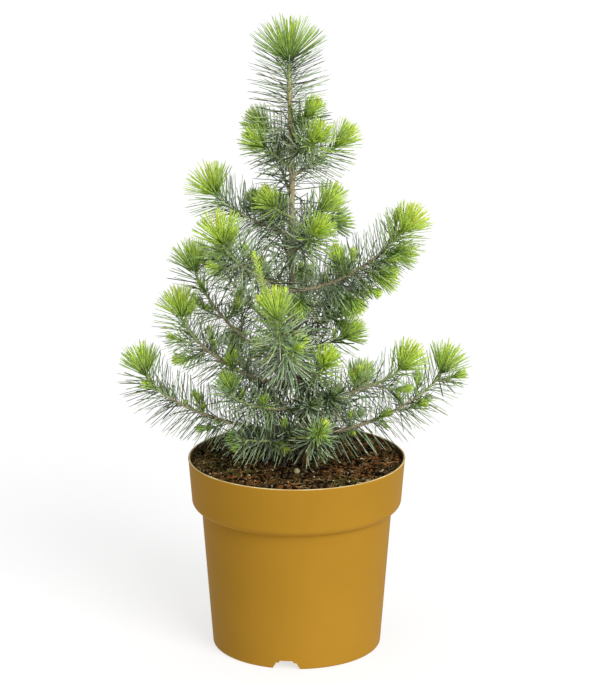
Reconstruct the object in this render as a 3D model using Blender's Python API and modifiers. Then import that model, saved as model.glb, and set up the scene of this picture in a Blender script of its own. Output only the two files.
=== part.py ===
"""A young stone pine in a plastic pot, as separate solids: the pot, the soil that fills it, the
trunk, each main bough and each mass of needles.

Units are metres, +Z is up, and the origin is the centre of the pot's flat underside. -Y is the
front. The masses of needles follow one rule: needles stand round a stem on a golden-angle spiral,
closed up at its tip and spread behind it, and side twigs carry more of them.
"""

import math
import random
from collections import namedtuple

import bmesh
import bpy
import numpy as np
from mathutils import Matrix, Vector

UP = Vector((0, 0, 1))
GAP = 0.0003  # left between neighbouring solids
GOLDEN_ANGLE = math.radians(137.5)

# The pot is turned: a tapered body under a wider collar, on a flat floor.
POT_HEIGHT = 0.1705
RIM_RADIUS = 0.095
COLLAR_FOOT_RADIUS = 0.0918
COLLAR_FOOT_HEIGHT = 0.133
BODY_TOP_RADIUS = 0.0836
BODY_TOP_HEIGHT = 0.126
BASE_RADIUS = 0.0742
BASE_ROUND = 0.0015
POT_WALL = 0.0018
POT_FLOOR = 0.0025
POT_SIDES = 48
SHOULDER_STEPS = 4

# Drainage channels run in from the pot's foot, under raised roofs with a hole in each.
CHANNEL_COUNT = 3
CHANNEL_AZIMUTH = 263
CHANNEL_HEIGHT = 0.008
CHANNEL_TOP_WIDTH = 0.0155
CHANNEL_FOOT_WIDTH = 0.0245
CHANNEL_INNER_END = 0.048
ROOF_OUTER_END = BASE_RADIUS - BASE_ROUND
DRAIN_RADIUS = 0.004
DRAIN_PLACE = 0.059

SOIL_BELOW_RIM = 0.0065
SOIL_TOP = POT_HEIGHT - SOIL_BELOW_RIM

# The trunk, by height above the soil
TRUNK_HEIGHT = 0.331
TRUNK_FOOT_OFFSET = 0.0065
LOWER_BEND, LOWER_BEND_TOP = 0.0105, 0.17
UPPER_BEND, UPPER_BEND_FOOT, UPPER_BEND_TOP = 0.0025, 0.26, 0.36
TRUNK_FOOT_RADIUS = 0.0029
TRUNK_TAPER = 0.0024  # radius lost for each metre of height
ROOT_FLARE, ROOT_FLARE_FADE = 0.0021, 0.025
TRUNK_STEPS = 16
RINGS_TOWARD_FOOT = 1.6  # more than 1 sets the trunk's rings closer together at its foot
LEADER_FOOT, LEADER_TOP = 0.217, 0.357

# Limbs
FOOT_HANDLE, TIP_HANDLE = 0.42, 0.14  # how far the curve keeps each end's slope, by its span
LIMB_STEPS = 10
BARE_SHARE = 0.3  # of a bough's length, before its needles begin
LIMB_TIP_RADIUS = 0.0009
LIMB_FOOT_RADIUS, LIMB_THICKENING = 0.0011, 0.0065

# Twigs and needles. A needle here stands for a few real ones, and is thicker than life.
STEM_THICKENING = 1.45  # a three-sided stem's section has the round stem's area
NEEDLE_BAND = 0.0036  # along a stem, for each two rows of needles
LOWER_ROW, UPPER_ROW = 0.25, 0.75  # where the two rows stand, as shares of a band
BAND_TURN = 72
NEEDLE_LENGTH, TIP_NEEDLE_LENGTH = 0.031, 0.027
NEEDLE_GROWTH = 0.015  # distance behind a tip over which needles reach their full length
SHORT_STEM_SHARE, LONG_STEM = 0.45, 0.075  # needles are shorter on a stem that isn't long
LEADER_NEEDLE_SHARE = 1.2
TIP_LEAN, OLD_LEAN = 25, 78
LEAN_SPREAD = 0.016  # distance behind a tip over which the needles spread out
LEAN_JITTER, TURN_JITTER = 1.5, 7  # degrees either way
NEEDLE_VARIETY = (0.86, 1.04)
TWIG_PITCH = 0.022
TWIGLESS_LENGTH = 0.05  # a stem up to this long bears no side twigs
SPARE_TWIG = 0.7  # a last twig grows where this share of a pitch is left at a stem's tip
TWIG_LEAN = 50
TWIG_LENGTH, TWIG_SHORTENING = 0.03, 0.45
TWIG_VARIETY = (0.45, 1.15)
TWIG_RISE = 0.5
TWIG_RADIUS = 0.0009
LEADER_SIDES = 6
LEADER_STEPS = 8
LEADER_WALL = 0.0005

# The room that each stem keeps to itself
SHORTER = (1, 0.8, 0.6, 0.4)  # lengths tried for a needle that would leave its room
SPACE_MARGIN = 0.0032
TWIG_ROOM = 0.011
LIMB_MARGIN = 0.0018
POT_MARGIN = 0.0018
FIRST_SAMPLE = 0.25
SAMPLES = 8
SPINE_PITCH = 0.0015
TWIG_FOOT_PART = 3  # a twig's inner third lies in its own stem's room
CUT_POINTS = 3  # of a limb's line, from its foot, along which the leader's needles are cut clear

Limb = namedtuple("Limb", "name height azimuth reach rise leave finish seed")
Stem = namedtuple("Stem", "points radii")

# Where a limb's foot stands above the soil, the way it points (0 is right, 90 is back and 270 is
# front), how far out and up its tip is from its foot, the slopes at which it leaves the trunk and
# ends, and the seed of its side twigs.
BOUGHS = (
    Limb("low_left", 0.031, 186, 0.137, 0.055, -4, 82, 197),
    Limb("low_right", 0.027, 2, 0.120, 0.055, -3, 74, 377),
    Limb("low_front", 0.016, 283, 0.055, 0.028, 15, 15, 0),
    Limb("low_back_right", 0.030, 62, 0.105, 0.014, 0, 60, 199),
    Limb("low_back_left", 0.042, 122, 0.108, 0.035, 0, 70, 134),
    Limb("lower_front_left", 0.050, 219, 0.078, 0.030, 5, 82, 252),
    Limb("lower_right", 0.055, 346, 0.089, 0.038, 12, 62, 91),
    Limb("lower_front_right", 0.071, 295, 0.048, 0.030, 10, 48, 0),
    Limb("lower_left", 0.072, 191, 0.103, 0.067, -3, 86, 140),
    Limb("lower_back", 0.085, 88, 0.104, 0.049, 8, 70, 208),
    Limb("middle_left", 0.084, 167, 0.092, 0.085, 15, 82, 113),
    Limb("middle_right", 0.101, 22, 0.045, 0.009, 12, 35, 0),
    Limb("middle_back_left", 0.112, 138, 0.086, 0.053, 12, 75, 194),
    Limb("middle_front", 0.098, 260, 0.095, 0.0575, -8, 88, 107),
    Limb("middle_back_right", 0.130, 60, 0.080, 0.018, 8, 60, 393),
    Limb("upper_front_left", 0.157, 226, 0.084, 0.056, 18, 78, 91),
    Limb("upper_right", 0.156, 354, 0.095, 0.055, 2, 58, 309),
    Limb("upper_back", 0.170, 98, 0.074, 0.038, 15, 70, 299),
    Limb("upper_back_right", 0.196, 55, 0.050, 0.024, 20, 45, 0),
    Limb("upper_left", 0.204, 176, 0.066, 0.037, 20, 80, 0),
)
SHOOTS = (
    Limb("foot_front", 0.020, 207, 0.060, 0.010, 8, 20, 0),
    Limb("high_front_right", 0.190, 299, 0.038, 0.022, 25, 42, 0),
    Limb("high_back_left", 0.214, 146, 0.034, 0.010, 30, 65, 0),
    Limb("high_right", 0.208, 5, 0.025, 0.018, 25, 42, 0),
    Limb("high_front_left", 0.219, 222, 0.022, 0.015, 35, 68, 0),
    Limb("high_back", 0.236, 105, 0.042, 0.025, 35, 70, 0),
    Limb("top_right", 0.256, 3, 0.037, 0.026, 30, 45, 0),
    Limb("top_left", 0.264, 202, 0.026, 0.020, 35, 42, 0),
    Limb("top_back", 0.268, 75, 0.030, 0.022, 42, 70, 0),
    Limb("top_front_right", 0.274, 302, 0.034, 0.018, 30, 55, 0),
    Limb("top_back_left", 0.282, 158, 0.025, 0.015, 38, 52, 0),
    Limb("peak_front_right", 0.295, 323, 0.016, 0.015, 40, 55, 0),
)


def clear_scene():
    for obj in list(bpy.data.objects):
        bpy.data.objects.remove(obj)


def new_material(name, colour, roughness, metallic=0.0):
    made = bpy.data.materials.new(name)
    made.use_nodes = True
    shader = made.node_tree.nodes["Principled BSDF"]
    shader.inputs["Base Color"].default_value = (*colour, 1)
    shader.inputs["Roughness"].default_value = roughness
    shader.inputs["Metallic"].default_value = metallic
    return made


def new_collection(name):
    made = bpy.data.collections.new(name)
    bpy.context.scene.collection.children.link(made)
    return made


def new_object(name, data, home):
    made = bpy.data.objects.new(name, data)
    home.objects.link(made)
    return made


def hide_helper(obj):
    obj.hide_render = True
    obj.display_type = "WIRE"
    return obj


def shade_round(obj, sharp_degrees=40):
    obj.data.shade_smooth()
    obj.data.set_sharp_from_angle(angle=math.radians(sharp_degrees))


def evaluated_mesh(obj):
    graph = bpy.context.evaluated_depsgraph_get()
    return bpy.data.meshes.new_from_object(obj.evaluated_get(graph))


def apply_modifiers(obj):
    mesh = evaluated_mesh(obj)
    obj.modifiers.clear()
    obj.data = mesh


def boolean(obj, operation, others):
    """A Boolean with one object, or with all that a collection holds."""
    modifier = obj.modifiers.new(operation.lower(), "BOOLEAN")
    modifier.operation = operation
    modifier.solver = "EXACT"
    if isinstance(others, bpy.types.Collection):
        modifier.operand_type = "COLLECTION"
        modifier.collection = others
    else:
        modifier.object = others


def remove_collection(collection):
    for obj in list(collection.objects):
        bpy.data.objects.remove(obj)
    bpy.data.collections.remove(collection)


def turned(name, profile, home):
    """A profile in the XZ plane turned about Z. It runs down its outer side."""
    mesh = bpy.data.meshes.new(name)
    edges = [(i, i + 1) for i in range(len(profile) - 1)]
    mesh.from_pydata([(radius, 0, height) for radius, height in profile], edges, [])
    made = new_object(name, mesh, home)
    screw = made.modifiers.new("turn", "SCREW")
    screw.steps = screw.render_steps = POT_SIDES
    screw.use_merge_vertices = True
    screw.merge_threshold = 0.00005
    screw.use_smooth_shade = True
    return made


def tube(name, points, radii, home, sides_level=1):
    """A round tapering limb through points, as a mesh."""
    curve = bpy.data.curves.new(name, "CURVE")
    curve.dimensions = "3D"
    curve.use_fill_caps = True
    curve.bevel_depth = 1
    curve.bevel_resolution = sides_level
    spline = curve.splines.new("POLY")
    spline.points.add(len(points) - 1)
    for place, point, radius in zip(spline.points, points, radii):
        place.co = (*point, 1)
        place.radius = radius
    drawn = new_object(name + "_curve", curve, home)
    mesh = evaluated_mesh(drawn)
    bpy.data.objects.remove(drawn)
    shape = bmesh.new()
    shape.from_mesh(mesh)
    bmesh.ops.remove_doubles(shape, verts=shape.verts, dist=0.00001)
    bmesh.ops.recalc_face_normals(shape, faces=shape.faces)
    shape.to_mesh(mesh)
    shape.free()
    return new_object(name, mesh, home)


def lerp(low, high, share):
    return low + (high - low) * share


def smooth(share):
    share = min(max(share, 0.0), 1.0)
    return share * share * (3 - 2 * share)


def slope(out, degrees):
    return out * math.cos(math.radians(degrees)) + UP * math.sin(math.radians(degrees))


def outward(degrees):
    return Vector((math.cos(math.radians(degrees)), math.sin(math.radians(degrees)), 0))


def pot_wall(inset):
    """The pot's side as (radius, height) from its foot to its rim, moved in by inset."""
    shoulder = [
        (
            lerp(COLLAR_FOOT_RADIUS, BODY_TOP_RADIUS, 1 - math.cos(turn)) - inset,
            lerp(COLLAR_FOOT_HEIGHT, BODY_TOP_HEIGHT + inset, math.sin(turn)),
        )
        for turn in (i / SHOULDER_STEPS * math.pi / 2 for i in range(SHOULDER_STEPS, -1, -1))
    ]
    return [(BASE_RADIUS - inset, 0), *shoulder, (RIM_RADIUS - inset, POT_HEIGHT)]


def wall_radius(wall, height):
    """The radius of a wall at a height on it."""
    for (low_radius, low), (high_radius, high) in zip(wall, wall[1:]):
        if low <= height <= high:
            return lerp(low_radius, high_radius, (height - low) / (high - low))
    return wall[-1][0]


def wall_between(wall, low, high):
    """A wall's points from one height to another, bottom to top."""
    between = [point for point in wall if low < point[1] < high]
    return [(wall_radius(wall, low), low), *between, (wall_radius(wall, high), high)]


def channel_block(name, azimuth, inner, outer, low, high, widths, home):
    """A block that lies along a radius, with sides that lean in from its foot to its top."""
    shape = bmesh.new()
    bmesh.ops.create_cube(shape, size=1)
    for corner in shape.verts:
        width = widths[1] if corner.co.z > 0 else widths[0]
        corner.co = Vector(
            (
                lerp(inner, outer, corner.co.x + 0.5),
                corner.co.y * width,
                lerp(low, high, corner.co.z + 0.5),
            )
        )
    bmesh.ops.rotate(shape, verts=shape.verts, matrix=Matrix.Rotation(math.radians(azimuth), 3, "Z"))
    mesh = bpy.data.meshes.new(name)
    shape.to_mesh(mesh)
    shape.free()
    return hide_helper(new_object(name, mesh, home))


def drain_cutter(name, azimuth, home):
    shape = bmesh.new()
    height = 2 * CHANNEL_HEIGHT
    bmesh.ops.create_cone(
        shape, cap_ends=True, segments=12, radius1=DRAIN_RADIUS, radius2=DRAIN_RADIUS, depth=height
    )
    place = outward(azimuth) * DRAIN_PLACE + UP * CHANNEL_HEIGHT
    bmesh.ops.translate(shape, verts=shape.verts, vec=place)
    mesh = bpy.data.meshes.new(name)
    shape.to_mesh(mesh)
    shape.free()
    return hide_helper(new_object(name, mesh, home))


def roof_block(name, azimuth, more, home):
    """The raised roof over one drainage channel, larger all round by more."""
    widths = [width + 2 * (POT_WALL + more) for width in (CHANNEL_FOOT_WIDTH, CHANNEL_TOP_WIDTH)]
    return channel_block(
        name,
        azimuth,
        CHANNEL_INNER_END - POT_WALL - more,
        ROOF_OUTER_END + more,
        POT_FLOOR / 2,
        CHANNEL_HEIGHT + POT_WALL + more,
        widths,
        home,
    )


def make_pot(home):
    """The pot, with its drainage channels cut up into the foot."""
    inner = wall_between(pot_wall(POT_WALL), POT_FLOOR, POT_HEIGHT)
    outer = wall_between(pot_wall(0), BASE_ROUND, POT_HEIGHT)[::-1]
    foot = [(BASE_RADIUS - BASE_ROUND, 0), (0, 0)]
    pot = turned("pot", [(0, POT_FLOOR), *inner, *outer, *foot], home)
    roofs = new_collection("pot_roofs")
    cutters = new_collection("pot_cutters")
    for number in range(CHANNEL_COUNT):
        azimuth = CHANNEL_AZIMUTH + number * 360 / CHANNEL_COUNT
        roof_block(f"roof_{number}", azimuth, 0, roofs)
        channel_block(
            f"channel_{number}",
            azimuth,
            CHANNEL_INNER_END,
            RIM_RADIUS,
            -CHANNEL_HEIGHT,
            CHANNEL_HEIGHT,
            (2 * CHANNEL_FOOT_WIDTH - CHANNEL_TOP_WIDTH, CHANNEL_TOP_WIDTH),
            cutters,
        )
        drain_cutter(f"drain_{number}", azimuth, cutters)
    boolean(pot, "UNION", roofs)
    boolean(pot, "DIFFERENCE", cutters)
    pot.data.materials.append(new_material("pot_plastic", (0.47, 0.26, 0.028), 0.38))
    return pot


def make_soil(home):
    """The soil that fills the pot, round the roofs of the channels, with a level top."""
    side = wall_between(pot_wall(POT_WALL + GAP), POT_FLOOR + GAP, SOIL_TOP)[::-1]
    soil = turned("soil", [(0, SOIL_TOP), *side, (0, POT_FLOOR + GAP)], home)
    cutters = new_collection("soil_cutters")
    for number in range(CHANNEL_COUNT):
        azimuth = CHANNEL_AZIMUTH + number * 360 / CHANNEL_COUNT
        roof_block(f"soil_channel_{number}", azimuth, GAP, cutters)
    boolean(soil, "DIFFERENCE", cutters)
    soil.data.materials.append(new_material("potting_soil", (0.06, 0.032, 0.014), 0.95))
    return soil


def trunk_axis(height):
    """The middle of the trunk at a height above the soil. It leans left, in two soft bends."""
    lower = LOWER_BEND * smooth(height / LOWER_BEND_TOP)
    upper = UPPER_BEND * smooth((height - UPPER_BEND_FOOT) / (UPPER_BEND_TOP - UPPER_BEND_FOOT))
    return Vector((TRUNK_FOOT_OFFSET - lower - upper, 0, SOIL_TOP + height))


def trunk_radius(height):
    flare = ROOT_FLARE * math.exp(-height / ROOT_FLARE_FADE)
    return TRUNK_FOOT_RADIUS - TRUNK_TAPER * height + flare


def trunk_tube(name, low, high, thicker, home, steps=TRUNK_STEPS):
    """The trunk between two heights, with rings closer together at the foot."""
    heights = [lerp(low, high, (i / steps) ** RINGS_TOWARD_FOOT) for i in range(steps + 1)]
    points = [trunk_axis(height) for height in heights]
    radii = [trunk_radius(height) + thicker for height in heights]
    return tube(name, points, radii, home, sides_level=3)


def limb_path(limb, steps=LIMB_STEPS):
    """A limb's middle line from the trunk's own: it leaves at its slope and turns up to its tip."""
    foot = trunk_axis(limb.height)
    out = outward(limb.azimuth)
    tip = foot + out * limb.reach + UP * limb.rise
    span = (tip - foot).length
    first = foot + slope(out, limb.leave) * span * FOOT_HANDLE
    second = tip - slope(out, limb.finish) * span * TIP_HANDLE
    points = []
    for i in range(steps + 1):
        t = i / steps
        u = 1 - t
        points.append(foot * u**3 + first * 3 * u * u * t + second * 3 * u * t * t + tip * t**3)
    return points


def limb_radii(limb, steps=LIMB_STEPS):
    foot_radius = LIMB_FOOT_RADIUS + LIMB_THICKENING * math.hypot(limb.reach, limb.rise)
    return [lerp(foot_radius, LIMB_TIP_RADIUS, i / steps) for i in range(steps + 1)]


def make_boughs(home, trunk_cutter, bark):
    """The bare inner stretch of each bough, its foot cut to the trunk's round."""
    last = round(BARE_SHARE * LIMB_STEPS) + 1
    for limb in BOUGHS:
        points, radii = limb_path(limb)[:last], limb_radii(limb)[:last]
        bough = tube("bough_" + limb.name, points, radii, home)
        boolean(bough, "DIFFERENCE", trunk_cutter)
        apply_modifiers(bough)
        shade_round(bough)
        bough.data.materials.append(bark)


def length_of(points):
    return sum((end - start).length for start, end in zip(points, points[1:]))


def point_along(points, distance):
    """The point at a distance along a line of points, and the line's direction there."""
    for start, end in zip(points, points[1:]):
        step = (end - start).length
        if distance <= step or end is points[-1]:
            break
        distance -= step
    return start.lerp(end, min(distance / step, 1)), (end - start).normalized()


def places_along(points):
    """A line as closely and evenly spaced points, to measure distances from."""
    whole = length_of(points)
    steps = math.ceil(whole / SPINE_PITCH)
    return np.array([point_along(points, whole * i / steps)[0] for i in range(steps + 1)])


def stem_of(limb, bare_share):
    """The part of a limb inside its needles, clear of the bare part."""
    points, radii = limb_path(limb), limb_radii(limb)
    first = round(bare_share * LIMB_STEPS)
    points, radii = points[first:], radii[first:]
    if first:
        points[0] = points[0] + (points[1] - points[0]).normalized() * GAP
    return Stem(points, [radius * STEM_THICKENING for radius in radii])


def leader_stem(low, high, radii):
    points = [trunk_axis(lerp(low, high, i / LEADER_STEPS)) for i in range(LEADER_STEPS + 1)]
    return Stem(points, radii)


def upper_side(along):
    """The direction square to along that points most nearly up."""
    level = along.cross(UP) if along.cross(UP).length > 0.1 else along.cross(Vector((0, 1, 0)))
    return level.normalized().cross(along)


def leaning(along, over, degrees, turn):
    """A direction that leans away from along, turned round it from over."""
    away = Matrix.Rotation(turn, 3, along) @ over
    lean = math.radians(degrees)
    return along * math.cos(lean) + away * math.sin(lean)


def square_to(along, direction):
    """The part of a direction that is square to along, one long."""
    return (direction - along * direction.dot(along)).normalized()


def twig_of(root, along, length, turn):
    """A side twig: it leans off its stem and bends up a little."""
    start = leaning(along, upper_side(along), TWIG_LEAN, turn)
    end = (start + UP * TWIG_RISE).normalized()
    middle = root + start * length / 2
    radius = TWIG_RADIUS * STEM_THICKENING
    return Stem([root, middle, middle + end * length / 2], [radius, radius])


def plan_twigs(stem, taken, limbs, chance):
    """The side twigs of one stem that have room. Each is added to the places taken."""
    own = places_along(stem.points)
    whole = length_of(stem.points)
    twigs = []
    first_turn = chance.uniform(0, math.tau)
    count = int(whole / TWIG_PITCH + 1 - SPARE_TWIG) if whole > TWIGLESS_LENGTH else 0
    for number in range(count):
        place = min(TWIG_PITCH * (number + 0.5), whole)
        root, along = point_along(stem.points, place)
        length = TWIG_LENGTH * (1 - TWIG_SHORTENING * place / whole) * chance.uniform(*TWIG_VARIETY)
        twig = twig_of(root, along, length, first_turn + number * GOLDEN_ANGLE)
        places = places_along(twig.points)
        outer = places[len(places) // TWIG_FOOT_PART :]
        to_own, _ = nearest(outer, own)
        to_taken, _ = nearest(outer, np.concatenate(taken))
        if (to_taken < np.minimum(TWIG_ROOM, to_own)).any() or not clear_of(outer, limbs):
            continue
        taken.append(places)
        twigs.append(twig)
    return twigs


def nearest(samples, places):
    """Each sample's distance to the nearest of the places, and which one that is."""
    apart = np.linalg.norm(samples[:, None, :] - places[None, :, :], axis=2)
    return apart.min(axis=1), apart.argmin(axis=1)


def clear_of(samples, limbs):
    """Whether points stay off the bare limbs, the pot and the soil."""
    places, radii = limbs
    to_limbs, which = nearest(samples, places)
    if (to_limbs - radii[which] < LIMB_MARGIN).any():
        return False
    from_axis = np.hypot(samples[:, 0], samples[:, 1])
    floor = np.where(from_axis < RIM_RADIUS - 2 * POT_WALL, SOIL_TOP, POT_HEIGHT)
    return bool((samples[:, 2] > floor + POT_MARGIN).all())


def limb_places(with_trunk):
    """Points along the bare limbs with the radius there, to keep needles off them."""
    lines = []
    last = round(BARE_SHARE * LIMB_STEPS) + 1
    for limb in BOUGHS:
        lines.append((limb_path(limb)[:last], limb_radii(limb)[:last]))
    if with_trunk:
        heights = [TRUNK_HEIGHT * i / TRUNK_STEPS for i in range(TRUNK_STEPS + 1)]
        lines.append(([trunk_axis(h) for h in heights], [trunk_radius(h) for h in heights]))
    places = [places_along(points) for points, _ in lines]
    radii = [np.full(len(line), around[0]) for line, (_, around) in zip(places, lines)]
    return np.concatenate(places), np.concatenate(radii)


class Room:
    """The room that one stem keeps: nearer to it than to any other, off limbs, pot and soil."""

    def __init__(self, own, others, limbs):
        reach = 2 * NEEDLE_LENGTH * LEADER_NEEDLE_SHARE + SPACE_MARGIN
        self.own = own
        self.others = others[nearest(others, own)[0] < reach]
        self.limbs = limbs

    def holds(self, start, end):
        """Whether a needle from start to end stays in the room."""
        shares = np.linspace(FIRST_SAMPLE, 1, SAMPLES)[:, None]
        samples = np.array(start) * (1 - shares) + np.array(end) * shares
        if len(self.others):
            to_own, _ = nearest(samples, self.own)
            to_others, _ = nearest(samples, self.others)
            if (to_others - to_own < SPACE_MARGIN).any():
                return False
        return clear_of(samples, self.limbs)


def stem_rings(shape, stem, sides):
    """Rings of corners along a stem, each turned on from the last, and the middles of them."""
    whole = length_of(stem.points)
    bands = max(2, round(whole / NEEDLE_BAND))
    rings, middles = [], []
    over = upper_side(point_along(stem.points, 0)[1])
    for number in range(bands + 1):
        middle, along = point_along(stem.points, whole * number / bands)
        over = square_to(along, over)
        radius = lerp(stem.radii[0], stem.radii[-1], number / bands)
        turns = [math.radians(number * BAND_TURN + k * 360 / sides) for k in range(sides)]
        corners = [middle + leaning(along, over, 90, turn) * radius for turn in turns]
        rings.append([shape.verts.new(corner) for corner in corners])
        middles.append(middle)
    return rings, middles


def add_needle(shape, corners, direction, length, room):
    """A needle drawn out of one face of a stem, as long as its room allows."""
    root = sum((corner.co for corner in corners), Vector()) / len(corners)
    for share in SHORTER:
        end = root + direction * length * share
        if room.holds(root, end):
            tip = shape.verts.new(end)
            for corner, following in zip(corners, corners[1:] + corners[:1]):
                shape.faces.new((corner, following, tip))
            return
    shape.faces.new(corners)


def share_of(stem):
    """How long a stem's needles are, as a share of the longest."""
    return lerp(SHORT_STEM_SHARE, 1, min(length_of(stem.points) / LONG_STEM, 1))


def needle_at(from_tip):
    """The lean off its stem and the length of a needle at a distance behind a growing tip."""
    spread = min(from_tip / LEAN_SPREAD, 1)
    lean = lerp(OLD_LEAN, TIP_LEAN, (1 - spread) ** 2)
    return lean, lerp(TIP_NEEDLE_LENGTH, NEEDLE_LENGTH, smooth(from_tip / NEEDLE_GROWTH))


def make_spray(name, stem, behind, needle_share, room, chance, home, sides=3):
    """A slim stem with a needle drawn out of each of its faces.

    The needles close up on a growing tip, which stands behind beyond the stem's end.
    """
    shape = bmesh.new()
    rings, middles = stem_rings(shape, stem, sides)
    whole = length_of(stem.points)
    shape.faces.new(rings[0])
    for number, (ring, following) in enumerate(zip(rings, rings[1:])):
        along = (middles[number + 1] - middles[number]).normalized()
        middle = (middles[number] + middles[number + 1]) / 2
        for k in range(sides):
            after = (k + 1) % sides
            lower = [ring[k], ring[after], following[k]]
            upper = [ring[after], following[after], following[k]]
            for corners, row in ((lower, LOWER_ROW), (upper, UPPER_ROW)):
                lean, length = needle_at(whole * (1 - (number + row) / (len(rings) - 1)) + behind)
                away = square_to(along, corners[0].co + corners[1].co + corners[2].co - middle * 3)
                tilt = lean + chance.uniform(-LEAN_JITTER, LEAN_JITTER)
                turn = math.radians(chance.uniform(-TURN_JITTER, TURN_JITTER))
                direction = leaning(along, away, tilt, turn)
                drawn = length * needle_share * chance.uniform(*NEEDLE_VARIETY)
                add_needle(shape, corners, direction, drawn, room)
    if behind:
        shape.faces.new(rings[-1])
    else:
        add_needle(shape, rings[-1], along, TIP_NEEDLE_LENGTH * needle_share, room)
    bmesh.ops.recalc_face_normals(shape, faces=shape.faces)
    mesh = bpy.data.meshes.new(name)
    shape.to_mesh(mesh)
    shape.free()
    return new_object(name, mesh, home)


def island_of(first):
    """The faces joined to one face."""
    found, waiting = {first}, [first]
    while waiting:
        for edge in waiting.pop().edges:
            for face in edge.link_faces:
                if face not in found:
                    found.add(face)
                    waiting.append(face)
    return found


def keep_one_body(mesh):
    """Fills sealed hollows and drops loose scraps: only the largest closed surface stays."""
    shape = bmesh.new()
    shape.from_mesh(mesh)
    left, islands = set(shape.faces), []
    while left:
        islands.append(island_of(next(iter(left))))
        left -= islands[-1]
    body = max(islands, key=lambda island: sum(face.calc_area() for face in island))
    extra = [face for face in shape.faces if face not in body]
    bmesh.ops.delete(shape, geom=extra, context="FACES")
    shape.to_mesh(mesh)
    shape.free()


def fuse(name, stem, pieces, home):
    """One solid from a stem and the pieces that stand in it."""
    boolean(stem, "UNION", pieces)
    mesh = evaluated_mesh(stem)
    remove_collection(pieces)
    bpy.data.objects.remove(stem)
    keep_one_body(mesh)
    return new_object("needles_" + name, mesh, home)


def make_mass(name, stem, twigs, lines, limbs, home):
    """A mass of needles: the spray along one stem, and those of its side twigs, as one solid."""
    chance = random.Random(name)
    pieces = new_collection(name + "_pieces")
    sprays = []
    for number, line in enumerate((stem, *twigs)):
        own = places_along(line.points)
        others = [places for key, places in lines.items() if key != (name, number)]
        room = Room(own, np.concatenate(others), limbs)
        share = LEADER_NEEDLE_SHARE if name == "leader_tip" else share_of(line)
        where = pieces if number else home
        sprays.append(make_spray(f"{name}_{number}", line, 0, share, room, chance, where))
    return fuse(name, sprays[0], pieces, home)


def make_leader(lines, home):
    """The sleeve of needles round the top of the trunk."""
    low, high = LEADER_FOOT, TRUNK_HEIGHT - NEEDLE_BAND
    wall = GAP + LEADER_WALL
    radii = [(trunk_radius(height) + wall) / math.cos(math.pi / LEADER_SIDES) for height in (low, high)]
    stem = leader_stem(low, high, radii)
    others = [places for key, places in lines.items() if key != ("leader", 0)]
    room = Room(places_along(stem.points), np.concatenate(others), limb_places(False))
    chance = random.Random("leader")
    behind = LEADER_TOP - high
    share = LEADER_NEEDLE_SHARE
    return make_spray("needles_leader", stem, behind, share, room, chance, home, LEADER_SIDES)


def cut_clear(mass, cutters):
    boolean(mass, "DIFFERENCE", cutters)
    apply_modifiers(mass)
    keep_one_body(mass.data)


def plan_stems():
    """The stem of each mass of needles and its side twigs, by name."""
    stems = {limb.name: stem_of(limb, BARE_SHARE) for limb in BOUGHS}
    stems.update({limb.name: stem_of(limb, 0) for limb in SHOOTS})
    radii = [radius * STEM_THICKENING for radius in (trunk_radius(TRUNK_HEIGHT), LIMB_TIP_RADIUS)]
    limbs = limb_places(True)
    seeds = {limb.name: limb.seed for limb in (*BOUGHS, *SHOOTS)}
    twigs = {"leader_tip": []}
    for name, stem in stems.items():
        taken = [places_along(other.points) for key, other in stems.items() if key != name]
        taken += [places_along(twig.points) for made in twigs.values() for twig in made]
        twigs[name] = plan_twigs(stem, taken, limbs, random.Random(seeds[name]))
    stems["leader_tip"] = leader_stem(TRUNK_HEIGHT + GAP, LEADER_TOP, radii)
    return stems, twigs


def make_foliage(home, trunk_cutter, limb_cutters, needles):
    """Every mass of needles: on the boughs, on short shoots, and on the leader."""
    stems, twigs = plan_stems()
    lines = {
        (name, number): places_along(line.points)
        for name, stem in stems.items()
        for number, line in enumerate((stem, *twigs[name]))
    }
    lines["leader", 0] = places_along(leader_stem(LEADER_FOOT, TRUNK_HEIGHT, []).points)
    limbs = limb_places(True)
    shoots = {limb.name for limb in SHOOTS}
    masses = []
    for name, stem in stems.items():
        mass = make_mass(name, stem, twigs[name], lines, limbs, home)
        if name in shoots:
            cut_clear(mass, trunk_cutter)
        masses.append(mass)
    leader = make_leader(lines, home)
    cut_clear(leader, limb_cutters)
    for mass in (*masses, leader):
        mass.data.materials.clear()
        mass.data.materials.append(needles)


def make_cutters():
    """The room round the trunk, alone and with the feet of the limbs that grow from it."""
    home = new_collection("cutters")
    trunk = hide_helper(trunk_tube("trunk_room", GAP, LEADER_TOP, GAP, home))
    limbs = new_collection("limb_cutters")
    limbs.objects.link(trunk)
    for limb in (*BOUGHS, *SHOOTS):
        points, radii = limb_path(limb)[:CUT_POINTS], limb_radii(limb)[:CUT_POINTS]
        wider = [radius * STEM_THICKENING + GAP for radius in radii]
        hide_helper(tube(limb.name + "_room", points, wider, limbs))
    return trunk, limbs


def main():
    clear_scene()
    home = new_collection("potted_stone_pine")
    bark = new_material("bark", (0.27, 0.17, 0.085), 0.85)
    needles = new_material("needles", (0.10, 0.22, 0.11), 0.6)
    make_pot(home)
    make_soil(home)
    trunk = trunk_tube("trunk", GAP, TRUNK_HEIGHT, 0, home)
    shade_round(trunk)
    trunk.data.materials.append(bark)
    trunk_cutter, limb_cutters = make_cutters()
    make_boughs(home, trunk_cutter, bark)
    make_foliage(home, trunk_cutter, limb_cutters, needles)


main()
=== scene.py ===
"""The looks of a young stone pine in a golden plastic pot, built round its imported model.

The trunk, boughs, side twigs and needles grow by the same rule as the part's solids, with finer
limbs and with needles of real thickness. Units are metres, +Z is up and -Y is the front.
"""

import math
import random
from collections import namedtuple

import bmesh
import bpy
import numpy as np
from mathutils import Matrix, Vector, noise


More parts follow.
